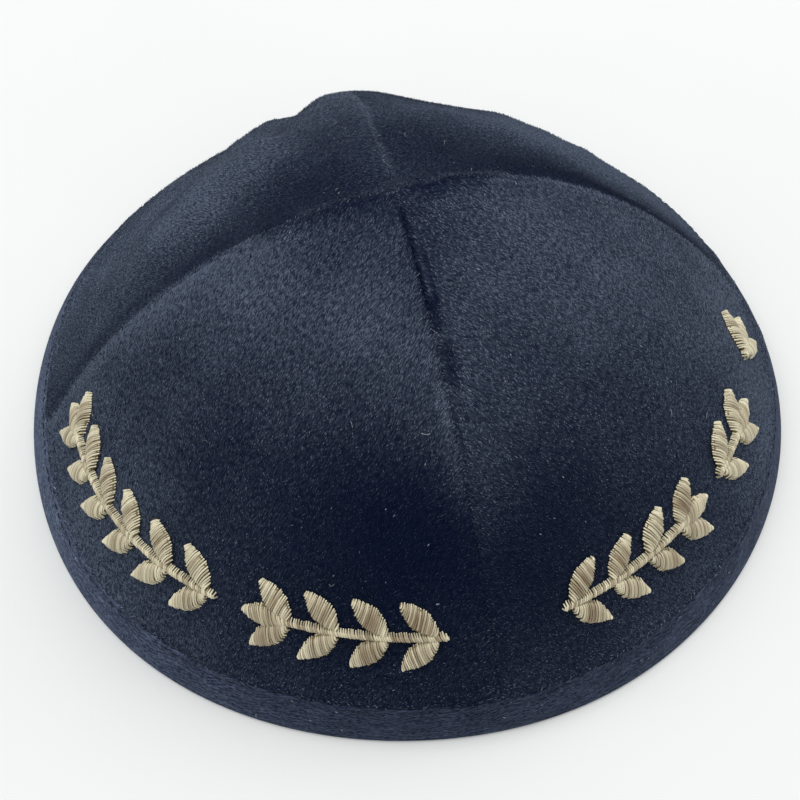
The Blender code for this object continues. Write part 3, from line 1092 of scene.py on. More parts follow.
class ThreadTree(GrowthTree):
    """Turns the guide lines of stitches into round threads."""

    def __init__(self) -> None:
        """Build the tree."""
        super().__init__("wind_thread", {
            "Thickness": "NodeSocketFloat", "Sides": "NodeSocketInt",
            "Material": "NodeSocketMaterial"})
        given = self.given.outputs
        lines = self.node("GeometryNodeMeshToCurve", {}, {"Mesh": given["Geometry"]})
        along = self.node("GeometryNodeSplineParameter").outputs["Factor"]
        kept = self.store(lines.outputs[0], "rise", along)
        section = self.node("GeometryNodeCurvePrimitiveCircle", {}, {
            "Resolution": given["Sides"], "Radius": self.given_value("Thickness") * 0.5})
        thread = self.node("GeometryNodeCurveToMesh", {}, {
            "Curve": kept, "Profile Curve": section.outputs[0], "Scale": self.named("girth"),
            "Fill Caps": True})
        self.end(thread.outputs[0], smooth=True)


@dataclass
class StitchedSprigs:
    """Satin-stitched sprigs, each a padded stem and leaves under a layer of close threads."""

    form: CrownForm
    from_rim: float = 0.0270
    stub: float = 0.0015
    leaf_length: float = 0.0098
    leaf_width: float = 0.0042
    leaf_pitch: float = 0.0095
    leaf_splay: float = radians(42)
    leaf_edge: float = 0.0004
    leaf_ridge: float = 0.0009
    stem_width: float = 0.0014
    stem_thickness: float = 0.0006
    thread: float = 0.00046
    stitch_pitch: float = 0.00042
    stem_slant: float = 0.0004
    leaf_slant: float = 0.11
    ragged: float = 0.00034
    bed: float = 0.0007
    seed: int = 5

    def stem_length(self, sprig: Sprig) -> float:
        """How far the last pair of leaves is from the stem's start."""
        return self.stub + (sprig.pairs - 1) * self.leaf_pitch

    def lay(self, sprig: Sprig, along: Numbers, up: Numbers, out: Numbers) -> Numbers:
        """Points of a sprig drawn flat, laid round the crown.

        Args:
            sprig: the sprig.
            along: distance along its stem.
            up: distance from the stem's middle, towards the crown.
            out: distance outwards from the cloth.

        Returns:
            The points on the standing cap.
        """
        middle = radians(sprig.azimuth)
        turn_radius = self.form.profile(np.array(middle), self.from_rim, 0.0)[0]
        whole = self.stem_length(sprig) + self.leaf_length
        azimuth = middle + sprig.points_to * (along - whole / 2) / turn_radius
        return self.form.place(azimuth, self.from_rim + up, CLEARANCE + out)

    def leaf_place(self, base: float, side: int, share: Numbers,
                   aside: Numbers) -> tuple[Numbers, Numbers]:
        """Where a place of a leaf lies on its sprig.

        Args:
            base: how far along the stem the leaf starts.
            side: 1 for a leaf towards the crown, -1 towards the rim and 0 at the tip.
            share: share of the way along the leaf.
            aside: distance from the leaf's middle line.

        Returns:
            The distances along the stem and up from it.
        """
        angle = side * self.leaf_splay
        along = base + share * self.leaf_length * cos(angle) - aside * sin(angle)
        up = side * self.stem_width / 4 + share * self.leaf_length * sin(angle)
        return along, up + aside * cos(angle)

    def leaves(self, sprig: Sprig) -> list[tuple[float, int]]:
        """Where each leaf starts and its side of the stem, the one at the tip last.

        Args:
            sprig: the sprig.

        Returns:
            For each leaf, how far along the stem it starts, and its side.
        """
        bases = [self.stub + pair * self.leaf_pitch for pair in range(sprig.pairs)]
        sides = [(base, side) for base in bases for side in (1, -1)]
        return [*sides, (self.stem_length(sprig), 0)]

    def pad(self, sprig: Sprig) -> bpy.types.Object:
        """The padding under the threads, as closed low domes.

        Args:
            sprig: the sprig.

        Returns:
            The padding of all its leaves as one object.
        """
        columns, rows = 13, 7
        share = np.linspace(0.0, 1.0, columns)[:, None]
        across = np.linspace(-1.0, 1.0, rows)[None, :]
        swell = np.sin(pi * share)
        dome = mix(self.leaf_edge, self.leaf_ridge, swell) * np.sqrt(1 - across ** 2 * 0.85)
        points, faces = [], []
        for base, side in self.leaves(sprig):
            along, up = self.leaf_place(base, side, share, across * self.leaf_width / 2 * swell)
            for out in (dome - self.thread * 0.4, np.full(dome.shape, -self.bed)):
                points.append(self.lay(sprig, along, up, out).reshape(-1, 3))
            wall, _ = wall_faces(columns, rows)
            first = len(faces) and sum(len(block) for block in points[:-2])
            faces += [[corner + first for corner in face] for face in wall]
        piece = Piece(f"{sprig.name}_pad", np.concatenate(points), faces)
        return piece.make()

    def guides(self, sprig: Sprig) -> bpy.types.Object:
        """The lines of all the stitches: over the stem first, then over each leaf.

        Args:
            sprig: the sprig.

        Returns:
            The lines as one object, with edges and no faces.
        """
        random = np.random.default_rng(self.seed + round(abs(sprig.azimuth)))
        lines: list[Numbers] = []
        tones: list[float] = []
        length = self.stem_length(sprig) + self.stem_width * 2
        across = np.linspace(-1.0, 1.0, 5)
        for start in np.arange(0.0, length, self.stitch_pitch * 1.15):
            rounded = min(1.0, 0.55 + start / 0.001)
            reach = self.stem_width / 2 * random.uniform(0.9, 1.3) * rounded
            along = start + across * self.stem_slant * rounded + random.normal(0, 0.00004)
            out = (self.stem_thickness + self.thread * 0.35) * np.sqrt(1 - across ** 2 * 0.9)
            lines.append(self.lay(sprig, along, across * reach, out - self.bed * across ** 6))
            tones.append(random.uniform(0.25, 1.0) + sprig.paleness)
        across = np.linspace(-1.0, 1.0, 7)
        for base, side in self.leaves(sprig):
            lean = -self.leaf_slant if side < 0 else self.leaf_slant
            middles = self.leaf_stitches(random)
            shade = random.uniform(0.0, 0.25) + sprig.paleness
            for middle in middles:
                share = middle + lean * across * sin(pi * middle) + random.normal(0, 0.006) * across
                share = np.clip(share, 0.004, 0.996)
                ragged = np.where(across > 0, random.uniform(0.0, 1.0), random.uniform(0.0, 1.0))
                reach = self.leaf_width / 2 * np.sin(pi * share) + ragged * self.ragged
                along, up = self.leaf_place(base, side, share, across * reach)
                dome = mix(self.leaf_edge, self.leaf_ridge, np.sin(pi * share))
                out = (dome + self.thread * 0.35) * np.sqrt(1 - across ** 2 * 0.92)
                out += random.normal(0, 0.00006) - self.bed * across ** 6
                lines.append(self.lay(sprig, along, up, out))
                # Short stitches near a leaf's two tips are painted lighter: a painted highlight
                # where the leaf slopes down at its tips.
                short = 1 - sin(pi * middle)
                tone = shade + random.uniform(0.0, 0.58) + 0.55 * short
                tones.append(min(1.0, max(0.0, tone)))
        return self.line_piece(f"{sprig.name}_lines", lines, tones, random)

    def leaf_stitches(self, random: np.random.Generator) -> Numbers:
        """Where the stitches cross a leaf, as shares of its length, a little uneven.

        Args:
            random: where the unevenness comes from.

        Returns:
            The shares, in order.
        """
        step = self.stitch_pitch / self.leaf_length / cos(radians(25))
        steps = step * random.uniform(0.82, 1.18, round(0.95 / step))
        return np.clip(0.03 + np.cumsum(steps), 0.03, 0.975)

    @staticmethod
    def line_piece(name: str, lines: list[Numbers], tones: list[float],
                   random: np.random.Generator) -> bpy.types.Object:
        """Guide lines of any lengths as one object, with each line's tone and girth.

        Args:
            name: the object's name.
            lines: the points of each line.
            tones: how light each line is, from 0 to 1.
            random: where the girths come from.

        Returns:
            The object, with edges and no faces.
        """
        edges, tone, girth, first = [], [], [], 0
        for line, light in zip(lines, tones):
            count = len(line)
            edges += [(first + step, first + step + 1) for step in range(count - 1)]
            tone += [light] * count
            girth += [0.68] + [random.uniform(0.86, 1.14)] * (count - 2) + [0.68]
            first += count
        carried = {"tone": np.array(tone), "girth": np.array(girth)}
        return Piece(name, np.concatenate(lines), [], edges, carried).make(weld=False)

    def make(self, sprig: Sprig, tree: ThreadTree, thread: bpy.types.Material,
             padding: bpy.types.Material) -> bpy.types.Object:
        """One sprig: its threads over its padding, as one piece.

        Args:
            sprig: the sprig.
            tree: the tree that makes threads.
            thread: the threads' material.
            padding: the padding's material.

        Returns:
            The piece.
        """
        stitches = tree.grow(self.guides(sprig), f"{sprig.name}_stitching", {
            "Thickness": self.thread, "Sides": 5, "Material": thread})
        pad = self.pad(sprig)
        pad.data.materials.append(padding)
        join(stitches, pad)
        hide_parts(sprig.name)
        return finish_piece(stitches, Slot.THREAD)


def join(first: bpy.types.Object, second: bpy.types.Object) -> None:
    """Add the second object's mesh to the first and remove the second.

    Args:
        first: the object that is kept.
        second: the object that goes into it.
    """
    bpy.ops.object.select_all(action="DESELECT")
    first.select_set(True)
    second.select_set(True)
    bpy.context.view_layer.objects.active = first
    bpy.ops.object.join()


def copied_together(pieces: list[bpy.types.Object]) -> bpy.types.Object:
    """One plain object with a copy of the meshes of several pieces.

    Args:
        pieces: the pieces, which stay as they are.

    Returns:
        The object.
    """
    mesh = bmesh.new()
    for piece in pieces:
        mesh.from_mesh(piece.data)
    data = bpy.data.meshes.new("together")
    mesh.to_mesh(data)
    mesh.free()
    result = bpy.data.objects.new("together", data)
    bpy.context.scene.collection.objects.link(result)
    return result


def finish_piece(piece: bpy.types.Object, slot: Slot) -> bpy.types.Object:
    """Tell the frame what a piece rides on, and report it with its material slot.

    Args:
        piece: the finished piece.
        slot: the record's material slot.

    Returns:
        The same piece.
    """
    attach(piece, BODY)
    piece.data.calc_loop_triangles()
    log.info("%s: %d triangles, %s", piece.name, len(piece.data.loop_triangles), slot.value)
    return piece


def outwards(bed: Piece) -> bpy.types.Object:
    """A bed for fibres, as an object whose faces look away from the cap's inside.

    Args:
        bed: the bed.

    Returns:
        The object.
    """
    result = bed.make(weld=False)
    middle = Vector((0.0, 0.0, CROWN_HEIGHT / 6))
    polygon = result.data.polygons[len(result.data.polygons) // 2]
    if polygon.normal.dot(polygon.center - middle) < 0:
        result.data.flip_normals()
    return result


@dataclass
class VelvetGores:
    """The four gores of velvet, each a wall of cloth with pile standing on its face."""

    form: CrownForm
    columns: int = 80
    rows: int = 92
    seam_gap: float = 0.00012
    roll_width: float = 0.0016
    pucker_pitch: float = 0.0068
    wave_height: float = 0.00022
    ripple_height: float = 0.00012
    axis_share: float = 0.65
    sunk: float = 0.0005
    edge_swell: float = 0.00025
    tape_width: float = 0.0100
    tape_wall: float = 0.0008
    tape_proud: float = 0.0003
    pile_density: float = 5.4e6
    pile_length: float = 0.00080
    pile_width: float = 0.00027
    pile_lean: float = radians(59)
    pile_ruffle: float = 0.28
    pile_sunk: float = 0.00015
    tuft: float = 0.0008
    lint: float = 0.0018
    clear_of_stitching: float = 0.0004
    seed: int = 3

    def across(self) -> Numbers:
        """Shares of the way across a gore, closer together near its seams."""
        even = np.linspace(0.0, 1.0, self.columns)
        return even - 0.6 * np.sin(tau * even) / tau

    def grid(self, index: int) -> tuple[Numbers, Numbers, Numbers]:
        """Where the points of a gore's face lie on the crown.

        Args:
            index: which gore.

        Returns:
            The azimuth of its first seam, the angle to the next one, the shares of the way
            across, and for each point its distance from the rim along the cloth.
        """
        start = radians(SEAMS[index].azimuth)
        span = (radians(SEAMS[(index + 1) % len(SEAMS)].azimuth) - start) % tau
        across = self.across()[:, None]
        azimuth = start + across * span
        length = self.form.length(azimuth)
        shoulder = self.form.ground(azimuth, self.tape_proud) + self.tape_width + CLEARANCE
        step = np.linspace(0.0, 1.0, self.rows - 2)[None, :]
        rows = mix(length, shoulder, step ** 1.08)
        pressed = self.tape_wall + CLEARANCE - self.tape_proud
        foot = self.form.ground(azimuth, -pressed) + self.tape_wall + CLEARANCE
        return start, span, across, np.concatenate([rows, rows[:, -1:] - CLEARANCE, foot], axis=1)

    def relief(self, radius: Numbers, across: Numbers, span: float, from_rim: Numbers,
               down: Numbers, index: int) -> Numbers:
        """How deep the velvet's face lies at the seams and in its small waves.

        Args:
            radius: distance of each point from the axis.
            across: shares of the way across the gore.
            span: the angle from seam to seam.
            from_rim: distance of each point from the rim along the cloth.
            down: distance of each point from the crown along the cloth.
            index: which gore.

        Returns:
            The depths below the crown's true form.
        """
        left = radius * np.sin(across * span)
        right = radius * np.sin((1 - across) * span)
        from_seam = np.minimum(np.abs(left), np.abs(right))
        pucker = 0.5 + 0.5 * np.sin(from_rim * tau / self.pucker_pitch + index * 1.7)
        width = self.roll_width * (0.9 + 0.2 * pucker)
        depth = np.zeros(down.shape)
        for beside, seam in ((left, SEAMS[index]), (right, SEAMS[(index + 1) % len(SEAMS)])):
            rolled = 1 - 0.85 * smooth_step(0.75 * seam.roll_end, 1.25 * seam.roll_end, down)
            near = np.maximum(0, 1 - np.abs(beside) / width) ** 2
            depth = np.maximum(depth, seam.roll * rolled * near)
        swell = self.wave_height * np.sin(left * 310 + index) * np.sin(from_rim * 260 + 2 * index)
        swell += self.ripple_height * np.sin(left * 620 + from_rim * 510 + index)
        away = smooth_step(0.001, 0.008, from_seam) * smooth_step(0.010, 0.020, from_rim)
        above_tape = from_rim - from_rim[:, -3:-2]
        return depth - swell * away + mix(-self.edge_swell, self.sunk,
                                          smooth_step(0.0, 0.003, above_tape))

    def faces(self, index: int) -> dict[str, Numbers]:
        """The points of both skins of a gore, and what its face carries.

        Args:
            index: which gore.

        Returns:
            The face and back points, and the pattern, tone, nap and cover of the face.
        """
        start, span, across, from_rim = self.grid(index)
        gore = GORES[index]
        half_gap = self.seam_gap / 2

        def points(offset: Numbers) -> tuple[Numbers, Numbers, Numbers]:
            """Points of one skin, with their azimuths and distances from the axis."""
            radius, height = self.form.profile(start + across * span, from_rim, offset)
            radius = np.maximum(radius, half_gap / sin(span / 2))
            inset = np.arcsin(half_gap / radius)
            azimuth = start + mix(inset, span - inset, across)
            return self.form.upright(azimuth, radius, height), azimuth, radius

        _, _, radius = points(np.zeros(from_rim.shape))
        down = self.form.length(start + across * span) - from_rim
        depth = self.relief(radius, across, span, from_rim, down, index)
        depth[:, -2:] = self.tape_wall + CLEARANCE - self.tape_proud
        front, azimuth, radius = points(-depth)
        back, _, _ = points(np.full(from_rim.shape, -CLOTH_WALL))
        face = self.form.settle(front)
        pattern = np.stack([radius * (azimuth - start - span / 2), from_rim,
                            np.zeros(from_rim.shape)], axis=-1)
        beside = (radius * np.sin(across * span), -radius * np.sin((1 - across) * span))
        shade, wild, parted = self.seam_shade(index, down, beside)
        # The tone carries painted light and shade from the patches and the seams, on top of the
        # velvet's own lightness.
        return {"face": face, "back": self.form.settle(back), "pattern": pattern,
                "tone": gore.tone * np.exp(self.brushed(gore, face) + shade),
                "wild": wild, "nap": self.nap(gore, start + span / 2, face),
                "cover": self.cover(parted, wild)}

    def brushed(self, gore: Gore, face: Numbers) -> Numbers:
        """How much lighter the velvet is painted, as a logarithm: its brushed nap, with painted
        light and shade.

        Args:
            gore: the gore.
            face: the points of its face.

        Returns:
            The natural logarithm for each point.
        """
        x = face[..., 0] / RIM_RADIUS
        y = face[..., 1] / RIM_RADIUS
        gain = 0.10 * np.sin(x * 19 + 3 * y) * np.sin(y * 23 - 2 * x + 1)
        gain += 0.07 * np.sin(x * 41 - 13 * y + 2) * np.sin(y * 37 + 11 * x)
        for patch in NAP_AND_LIGHT_PATCHES:
            if patch.gore == gore.name:
                away = np.hypot((x - patch.x) / patch.reach_x, (y - patch.y) / patch.reach_y)
                gain += patch.gain * bell(away, 1.0)
        return gain

    def seam_shade(self, index: int, down: Numbers,
                   beside: tuple[Numbers, Numbers]) -> tuple[Numbers, Numbers, Numbers]:
        """What the seams do to the pile of a gore, with the light and shade painted along them.

        Args:
            index: which gore.
            down: distances from the crown along the cloth.
            beside: distances from the gore's first and last seam, counterclockwise.

        Returns:
            How much lighter the pile looks, as a logarithm, how much wilder it stands and how
            far it is parted, from 0 to 1.
        """
        gain = np.zeros(down.shape)
        wild = np.zeros(down.shape)
        parted = np.zeros(down.shape)
        for shade in SEAM_SHADES:
            if shade.seam not in (index, (index + 1) % len(SEAMS)):
                continue
            aside = beside[0] if shade.seam == index else beside[1]
            weave = 0.00016 * np.sin(down * 2900 + shade.offset * 9000)
            weave += 0.00010 * np.sin(down * 5300 + 1)
            fade = 0.15 * (shade.end - shade.start)
            held = smooth_step(shade.start, shade.start + fade, down)
            held *= 1 - smooth_step(shade.end - fade, shade.end, down)
            held *= bell(aside - shade.offset - weave, shade.width)
            gain += shade.gain * held
            wild += shade.ruffle * held
            parted = np.maximum(parted, -0.75 * shade.gain / (1 + 2 * shade.ruffle) * held)
        return gain, wild, np.clip(parted, 0, 0.85)

    def nap(self, gore: Gore, middle: float, face: Numbers) -> Numbers:
        """The direction in which the pile lies, along the face of the cloth.

        Args:
            gore: the gore, whose nap turns the direction.
            middle: the azimuth of the gore's middle, up which a straight nap runs.
            face: the points of the cloth's face.

        Returns:
            A direction for each point, between up the gore's middle and up to the crown.
        """
        up = -unit(np.gradient(face, axis=1))
        around = unit(np.gradient(face, axis=0))
        up[:, 0] = up[:, 1]
        around[:, 0] = around[:, 1]
        out = unit(np.cross(around, up))
        axis = np.array([-cos(middle), -sin(middle), 0.0])
        axis = unit(axis - out * (out @ axis)[..., None])
        lie = unit(mix(up, axis, self.axis_share))
        aside = np.cross(lie, out)
        turn = np.full(lie.shape[:2], radians(gore.nap))
        turn += np.sin(face[..., 0] * 170) * np.sin(face[..., 1] * 140 + 1) * 0.14
        turn += np.sin(face[..., 0] * 460 + face[..., 1] * 130) * 0.08
        return unit(lie * np.cos(turn)[..., None] + aside * np.sin(turn)[..., None])

    def cover(self, parted: Numbers, wild: Numbers) -> Numbers:
        """Where pile stands: down to the tape, thinly where parted and thickly where wild.

        Args:
            parted: how far the pile is parted, from 0 to 1.
            wild: how much wilder than elsewhere it stands.

        Returns:
            How densely it stands, against 1 on even velvet.
        """
        cover = 1 - parted + 0.5 * wild
        cover[:, -2:] = 0.0
        return cover

    def make(self, index: int, tree: PileTree, pile: bpy.types.Material,
             back: bpy.types.Material, stitching: bpy.types.Object) -> None:
        """One gore: its wall of cloth and its pile, as two pieces.

        Args:
            index: which gore.
            tree: the tree that stands fibres.
            pile: the fibres' material.
            back: the material of the cloth's back.
            stitching: what the fibres stay clear of.
        """
        gore = GORES[index]
        parts = self.faces(index)
        columns, rows = parts["tone"].shape
        walls, skins = wall_faces(columns, rows)
        twice = {name: np.concatenate([parts[name].reshape(-1, *parts[name].shape[2:])] * 2)
                 for name in ("pattern", "tone")}
        points = np.concatenate([parts["face"].reshape(-1, 3), parts["back"].reshape(-1, 3)])
        cloth = Piece(gore.name + "_velvet", points, walls, carried=twice, skins=skins).make()
        cloth.data.materials.append(VelvetFinish(f"{gore.name}_velvet", gore.nap).make())
        cloth.data.materials.append(back)
        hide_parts(gore.name)
        finish_piece(cloth, Slot.VELVET)
        carried = {name: parts[name].reshape(-1, *parts[name].shape[2:])
                   for name in ("tone", "nap", "cover", "wild")}
        bed = Piece(gore.name + "_bed", parts["face"], grid_faces(columns, rows), carried=carried)
        grown = tree.grow(outwards(bed), gore.name + "_pile", {
            "Density": self.pile_density, "Length": self.pile_length, "Width": self.pile_width,
            "Lean": self.pile_lean, "Ruffle": self.pile_ruffle, "Sunk": self.pile_sunk,
            "Tuft": self.tuft, "Lint": self.lint, "Unevenness": gore.unevenness,
            "Stitching": stitching, "Clear of stitching": self.clear_of_stitching,
            "Seed": self.seed + index, "Material": pile})
        finish_piece(grown, Slot.VELVET)
        self.declare(index)

    def declare(self, index: int) -> None:
        """Work out how large a gore was cut, which is a little past half of its width times length;
        the area is not used.

        Args:
            index: which gore.
        """
        start = radians(SEAMS[index].azimuth)
        span = (radians(SEAMS[(index + 1) % len(SEAMS)].azimuth) - start) % tau
        steps = start + span * (np.arange(200) + 0.5) / 200
        lengths = self.form.length(steps)
        from_rim = lengths[:, None] * (np.arange(200) + 0.5) / 200
        radius, _ = self.form.profile(steps[:, None], from_rim, 0.0)
        area = float((radius * span / 200 * lengths[:, None] / 200).sum())


@dataclass
class RimBinding:
    """Twill tape folded over the rim, and the row of stitches that holds it."""

    form: CrownForm
    steps: int = 960
    width: float = 0.0100
    width_inside: float = 0.0085
    wall: float = 0.0008
    proud: float = 0.0003
    fold_radius: float = 0.0009
    edge_radius: float = 0.0003
    stitch_pitch: float = 0.0026
    stitch_from_edge: float = 0.0013
    stitch_dent: float = 0.00020
    stitch_thickness: float = 0.00030
    darkest: float = 0.62
    fluff_tone: float = 0.42
    fluff_density: float = 1.3e6
    fluff_length: float = 0.0007
    fluff_width: float = 0.00015
    fluff_lean: float = radians(78)
    fluff_lint: float = 0.022

    def section(self, azimuth: Numbers) -> tuple[Numbers, Numbers]:
        """The tape's closed outline: distances from the rim, offsets and the way round it.

        Args:
            azimuth: in radians.

        Returns:
            For each azimuth, the distances from the rim and the offsets of the outline's points.
        """
        outside = self.proud
        channel_out = outside - self.wall
        channel_in = -CLOTH_WALL - CLEARANCE
        inside = channel_in - self.wall
        turns = np.linspace(0, pi / 2, 7)
        reach = self.fold_radius
        places: list[tuple[Numbers, Numbers]] = []

        def add(up: float, offset: float, ground: float | None = None) -> None:
            """Add a line round the cap at a height along the cloth above the ground."""
            low = self.form.ground(azimuth, outside if ground is None else ground)
            places.append((low + up, np.full(azimuth.shape, offset)))

        for turn in np.linspace(0, pi / 2, 4):
            add(self.width - self.edge_radius * (1 - cos(turn)),
                outside - self.edge_radius * (1 - sin(turn)))
        for share in np.linspace(0.06, 0.94, 11):
            add(mix(self.width - self.edge_radius, reach, share), outside)
        for turn in turns:
            offset = outside - reach * (1 - cos(turn))
            add(reach * (1 - sin(turn)), offset, offset)
        for turn in turns:
            offset = inside + reach * (1 - sin(turn))
            add(reach * (1 - cos(turn)), offset, offset)
        for share in (0.25, 0.5, 0.75, 1.0):
            add(mix(reach, self.width_inside, share), inside, inside)
        add(self.width_inside, channel_in, inside)
        add(self.wall, channel_in, channel_in)
        add(self.wall, channel_out, channel_out)
        add(self.width, channel_out)
        from_rim = np.stack([place[0] for place in places], axis=1)
        offset = np.stack([place[1] for place in places], axis=1)
        return from_rim, offset

    def make(self, tape: bpy.types.Material, thread: bpy.types.Material, fluff: bpy.types.Material,
             winding: ThreadTree, standing: PileTree, stitching: bpy.types.Object) -> None:
        """The tape as one closed ring, its stitches and the fluff on it.

        Args:
            tape: the tape's material.
            thread: the stitches' material.
            fluff: the material of the loose fibres.
            winding: the tree that makes threads.
            standing: the tree that makes fibres.
            stitching: what the fibres stay clear of.
        """
        azimuth = np.arange(self.steps) * tau / self.steps
        from_rim, offset = self.section(azimuth)
        ground = self.form.ground(azimuth, self.proud)[:, None]
        below = ground + self.width - from_rim
        turn = azimuth[:, None]
        pull = bell(below - self.stitch_from_edge, 0.0005)
        stitch = 0.5 + 0.5 * np.cos(turn * RIM_RADIUS * tau / self.stitch_pitch)
        ripple = 0.00012 * np.sin(turn * 41) + 0.00009 * np.sin(turn * 67 + 1.3)
        ripple = ripple + 0.00008 * np.sin(turn * 23 + below * 700)
        shown = (offset > self.proud - 0.0006) & (below > -1e-6)
        raised = smooth_step(0.0008, 0.004, from_rim - ground)
        dent = (-self.stitch_dent * pull * (0.4 + 0.6 * stitch) + ripple * raised) * shown
        points = self.form.place(turn, from_rim, offset + dent)
        around = np.broadcast_to(turn * RIM_RADIUS, from_rim.shape)
        lengths = np.linalg.norm(np.diff(points, axis=1), axis=2).mean(axis=0)
        across = np.broadcast_to(np.insert(np.cumsum(lengths), 0, 0), from_rim.shape)
        pattern = np.stack([around, across, np.zeros(around.shape)], axis=-1).reshape(-1, 3)
        rows = points.shape[1]
        faces = grid_faces(self.steps, rows, wrap=True)
        last = [[column * rows + rows - 1, column * rows, (column + 1) % self.steps * rows,
                 (column + 1) % self.steps * rows + rows - 1] for column in range(self.steps)]
        # Painted light and sheen: the tape lighter on its left and right sides and at the back than
        # at the front.
        painted_sheen = np.broadcast_to(self.painted_sheen(turn), from_rim.shape).ravel()
        piece = Piece("rim_binding_tape", points.reshape(-1, 3), faces + last,
                      carried={"pattern": pattern, "tone": painted_sheen}).make()
        piece.data.materials.append(tape)
        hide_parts("rim_binding")
        finish_piece(piece, Slot.TAPE)
        stitches = finish_piece(self.stitches(thread, winding), Slot.TAPE)
        loose = self.fluff(points, fluff, standing, stitching)

    def painted_sheen(self, azimuth: Numbers) -> Numbers:
        """How much lighter the tape is painted at azimuths in radians: painted light and sheen on
        its sides and back.

        Args:
            azimuth: in radians.

        Returns:
            The factor on the tape's own lightness, from the darkest up to about 2.
        """
        result = np.full(azimuth.shape, self.darkest)
        for middle, reach, gain in ((-172.0, 34.0, 1.38), (-32.0, 36.0, 0.40), (90.0, 50.0, 0.30)):
            turn = (azimuth - radians(middle) + pi) % tau - pi
            result = result + gain * bell(turn, radians(reach))
        return result

    def fluff(self, points: Numbers, material: bpy.types.Material, tree: PileTree,
              stitching: bpy.types.Object) -> bpy.types.Object:
        """Loose fibres that lie on the outside of the tape, most of them at its upper edge.

        Args:
            points: the tape's points.
            material: the fibres' material.
            tree: the tree that stands fibres.
            stitching: what the fibres stay clear of.

        Returns:
            The piece.
        """
        outer = points[:, 3:14]
        around = unit(np.roll(outer, -1, axis=0) - outer)
        lowered = unit(np.gradient(outer, axis=1))
        turn = 1.2 * np.sin(np.arange(self.steps) * 0.37)[:, None, None]
        nap = unit(around * np.cos(turn) + lowered * np.sin(turn))
        rows = outer.shape[1]
        cover = np.broadcast_to(np.linspace(1.0, 0.0, rows) ** 3 * 1.6 + 0.6, outer.shape[:2])
        turns = np.arange(self.steps)[:, None] * tau / self.steps
        # The fluff takes the tape's painted light and sheen.
        tone = np.broadcast_to(self.fluff_tone * self.painted_sheen(turns), outer.shape[:2])
        carried = {"tone": tone.ravel(), "cover": cover.ravel(),
                   "wild": np.zeros(cover.size), "nap": nap.reshape(-1, 3)}
        bed = Piece("tape_bed", outer.reshape(-1, 3), grid_faces(self.steps, rows, wrap=True),
                    carried=carried)
        grown = tree.grow(outwards(bed), "rim_binding_fluff", {
            "Density": self.fluff_density, "Length": self.fluff_length,
            "Width": self.fluff_width, "Lean": self.fluff_lean, "Ruffle": 0.38,
            "Sunk": 0.00004, "Tuft": 0.004, "Lint": self.fluff_lint, "Unevenness": 1.2,
            "Stitching": stitching, "Clear of stitching": 0.0001, "Seed": 21,
            "Material": material})
        return finish_piece(grown, Slot.TAPE)

    def stitches(self, thread: bpy.types.Material, tree: ThreadTree) -> bpy.types.Object:
        """The row of small stitches along the tape's upper edge.

        Args:
            thread: the stitches' material.
            tree: the tree that makes threads.

        Returns:
            The piece.
        """
        count = round(tau * RIM_RADIUS / self.stitch_pitch)
        random = np.random.default_rng(8)
        share = np.linspace(-1.0, 1.0, 5)
        middle = np.arange(count)[:, None] * tau / count
        azimuth = middle + share * 0.36 * tau / count
        edge = self.form.ground(azimuth, self.proud) + self.width
        sway = random.normal(0, 0.00008, (count, 1)) + share * random.normal(0, 0.0001, (count, 1))
        offset = self.proud - 0.0001 + 0.00022 * (1 - share ** 4)
        points = self.form.place(azimuth, edge - self.stitch_from_edge + sway,
                                 np.broadcast_to(offset, azimuth.shape))
        edges = [(line * 5 + step, line * 5 + step + 1) for line in range(count)
                 for step in range(4)]
        tones = np.repeat(random.uniform(0.0, 1.0, count), 5)
        carried = {"tone": tones, "girth": np.tile([0.7, 1.0, 1.0, 1.0, 0.7], count)}
        lines = Piece("binding_lines", points.reshape(-1, 3), [], edges, carried)
        return tree.grow(lines.make(weld=False), "rim_binding_stitches", {
            "Thickness": self.stitch_thickness, "Sides": 6, "Material": thread})


@dataclass
class StrayHairs:
    """A few pale hairs that cling to the velvet and the tape."""

    form: CrownForm
    count: int = 22
    thickness: float = 0.00008
    seed: int = 12

    def make(self, tree: ThreadTree, material: bpy.types.Material) -> None:
        """All the hairs as one piece.

        Args:
            tree: the tree that makes threads.
            material: the hairs' material.
        """
        random = np.random.default_rng(self.seed)
        lines, tones = [], []
        for _ in range(self.count):
            azimuth = random.uniform(0, tau)
            length = float(self.form.length(np.array(azimuth)))
            from_rim = length * random.uniform(0.05, 0.9)
            radius = float(self.form.profile(np.array(azimuth), from_rim, 0.0)[0])
            reach = random.uniform(0.0008, 0.0022) * random.uniform(0.6, 1.3)
            bend = random.normal(0, 1.3)
            steps = np.linspace(0, 1, 9)
            heading = random.uniform(0, tau) + bend * steps + random.normal(0, 0.5) * steps ** 2
            aside = np.cumsum(np.cos(heading)) * reach / 8
            up = np.cumsum(np.sin(heading)) * reach / 8
            offset = 0.0003 + 0.0004 * np.sin(pi * steps) * random.uniform(0.2, 1.4)
            lines.append(self.form.place(azimuth + aside / radius, from_rim + up, offset))
            tones.append(random.uniform(0.1, 1.0))
        guides = StitchedSprigs.line_piece("hair_lines", lines, tones, random)
        finish_piece(tree.grow(guides, "stray_hairs", {
            "Thickness": self.thickness, "Sides": 3, "Material": material}), Slot.VELVET)


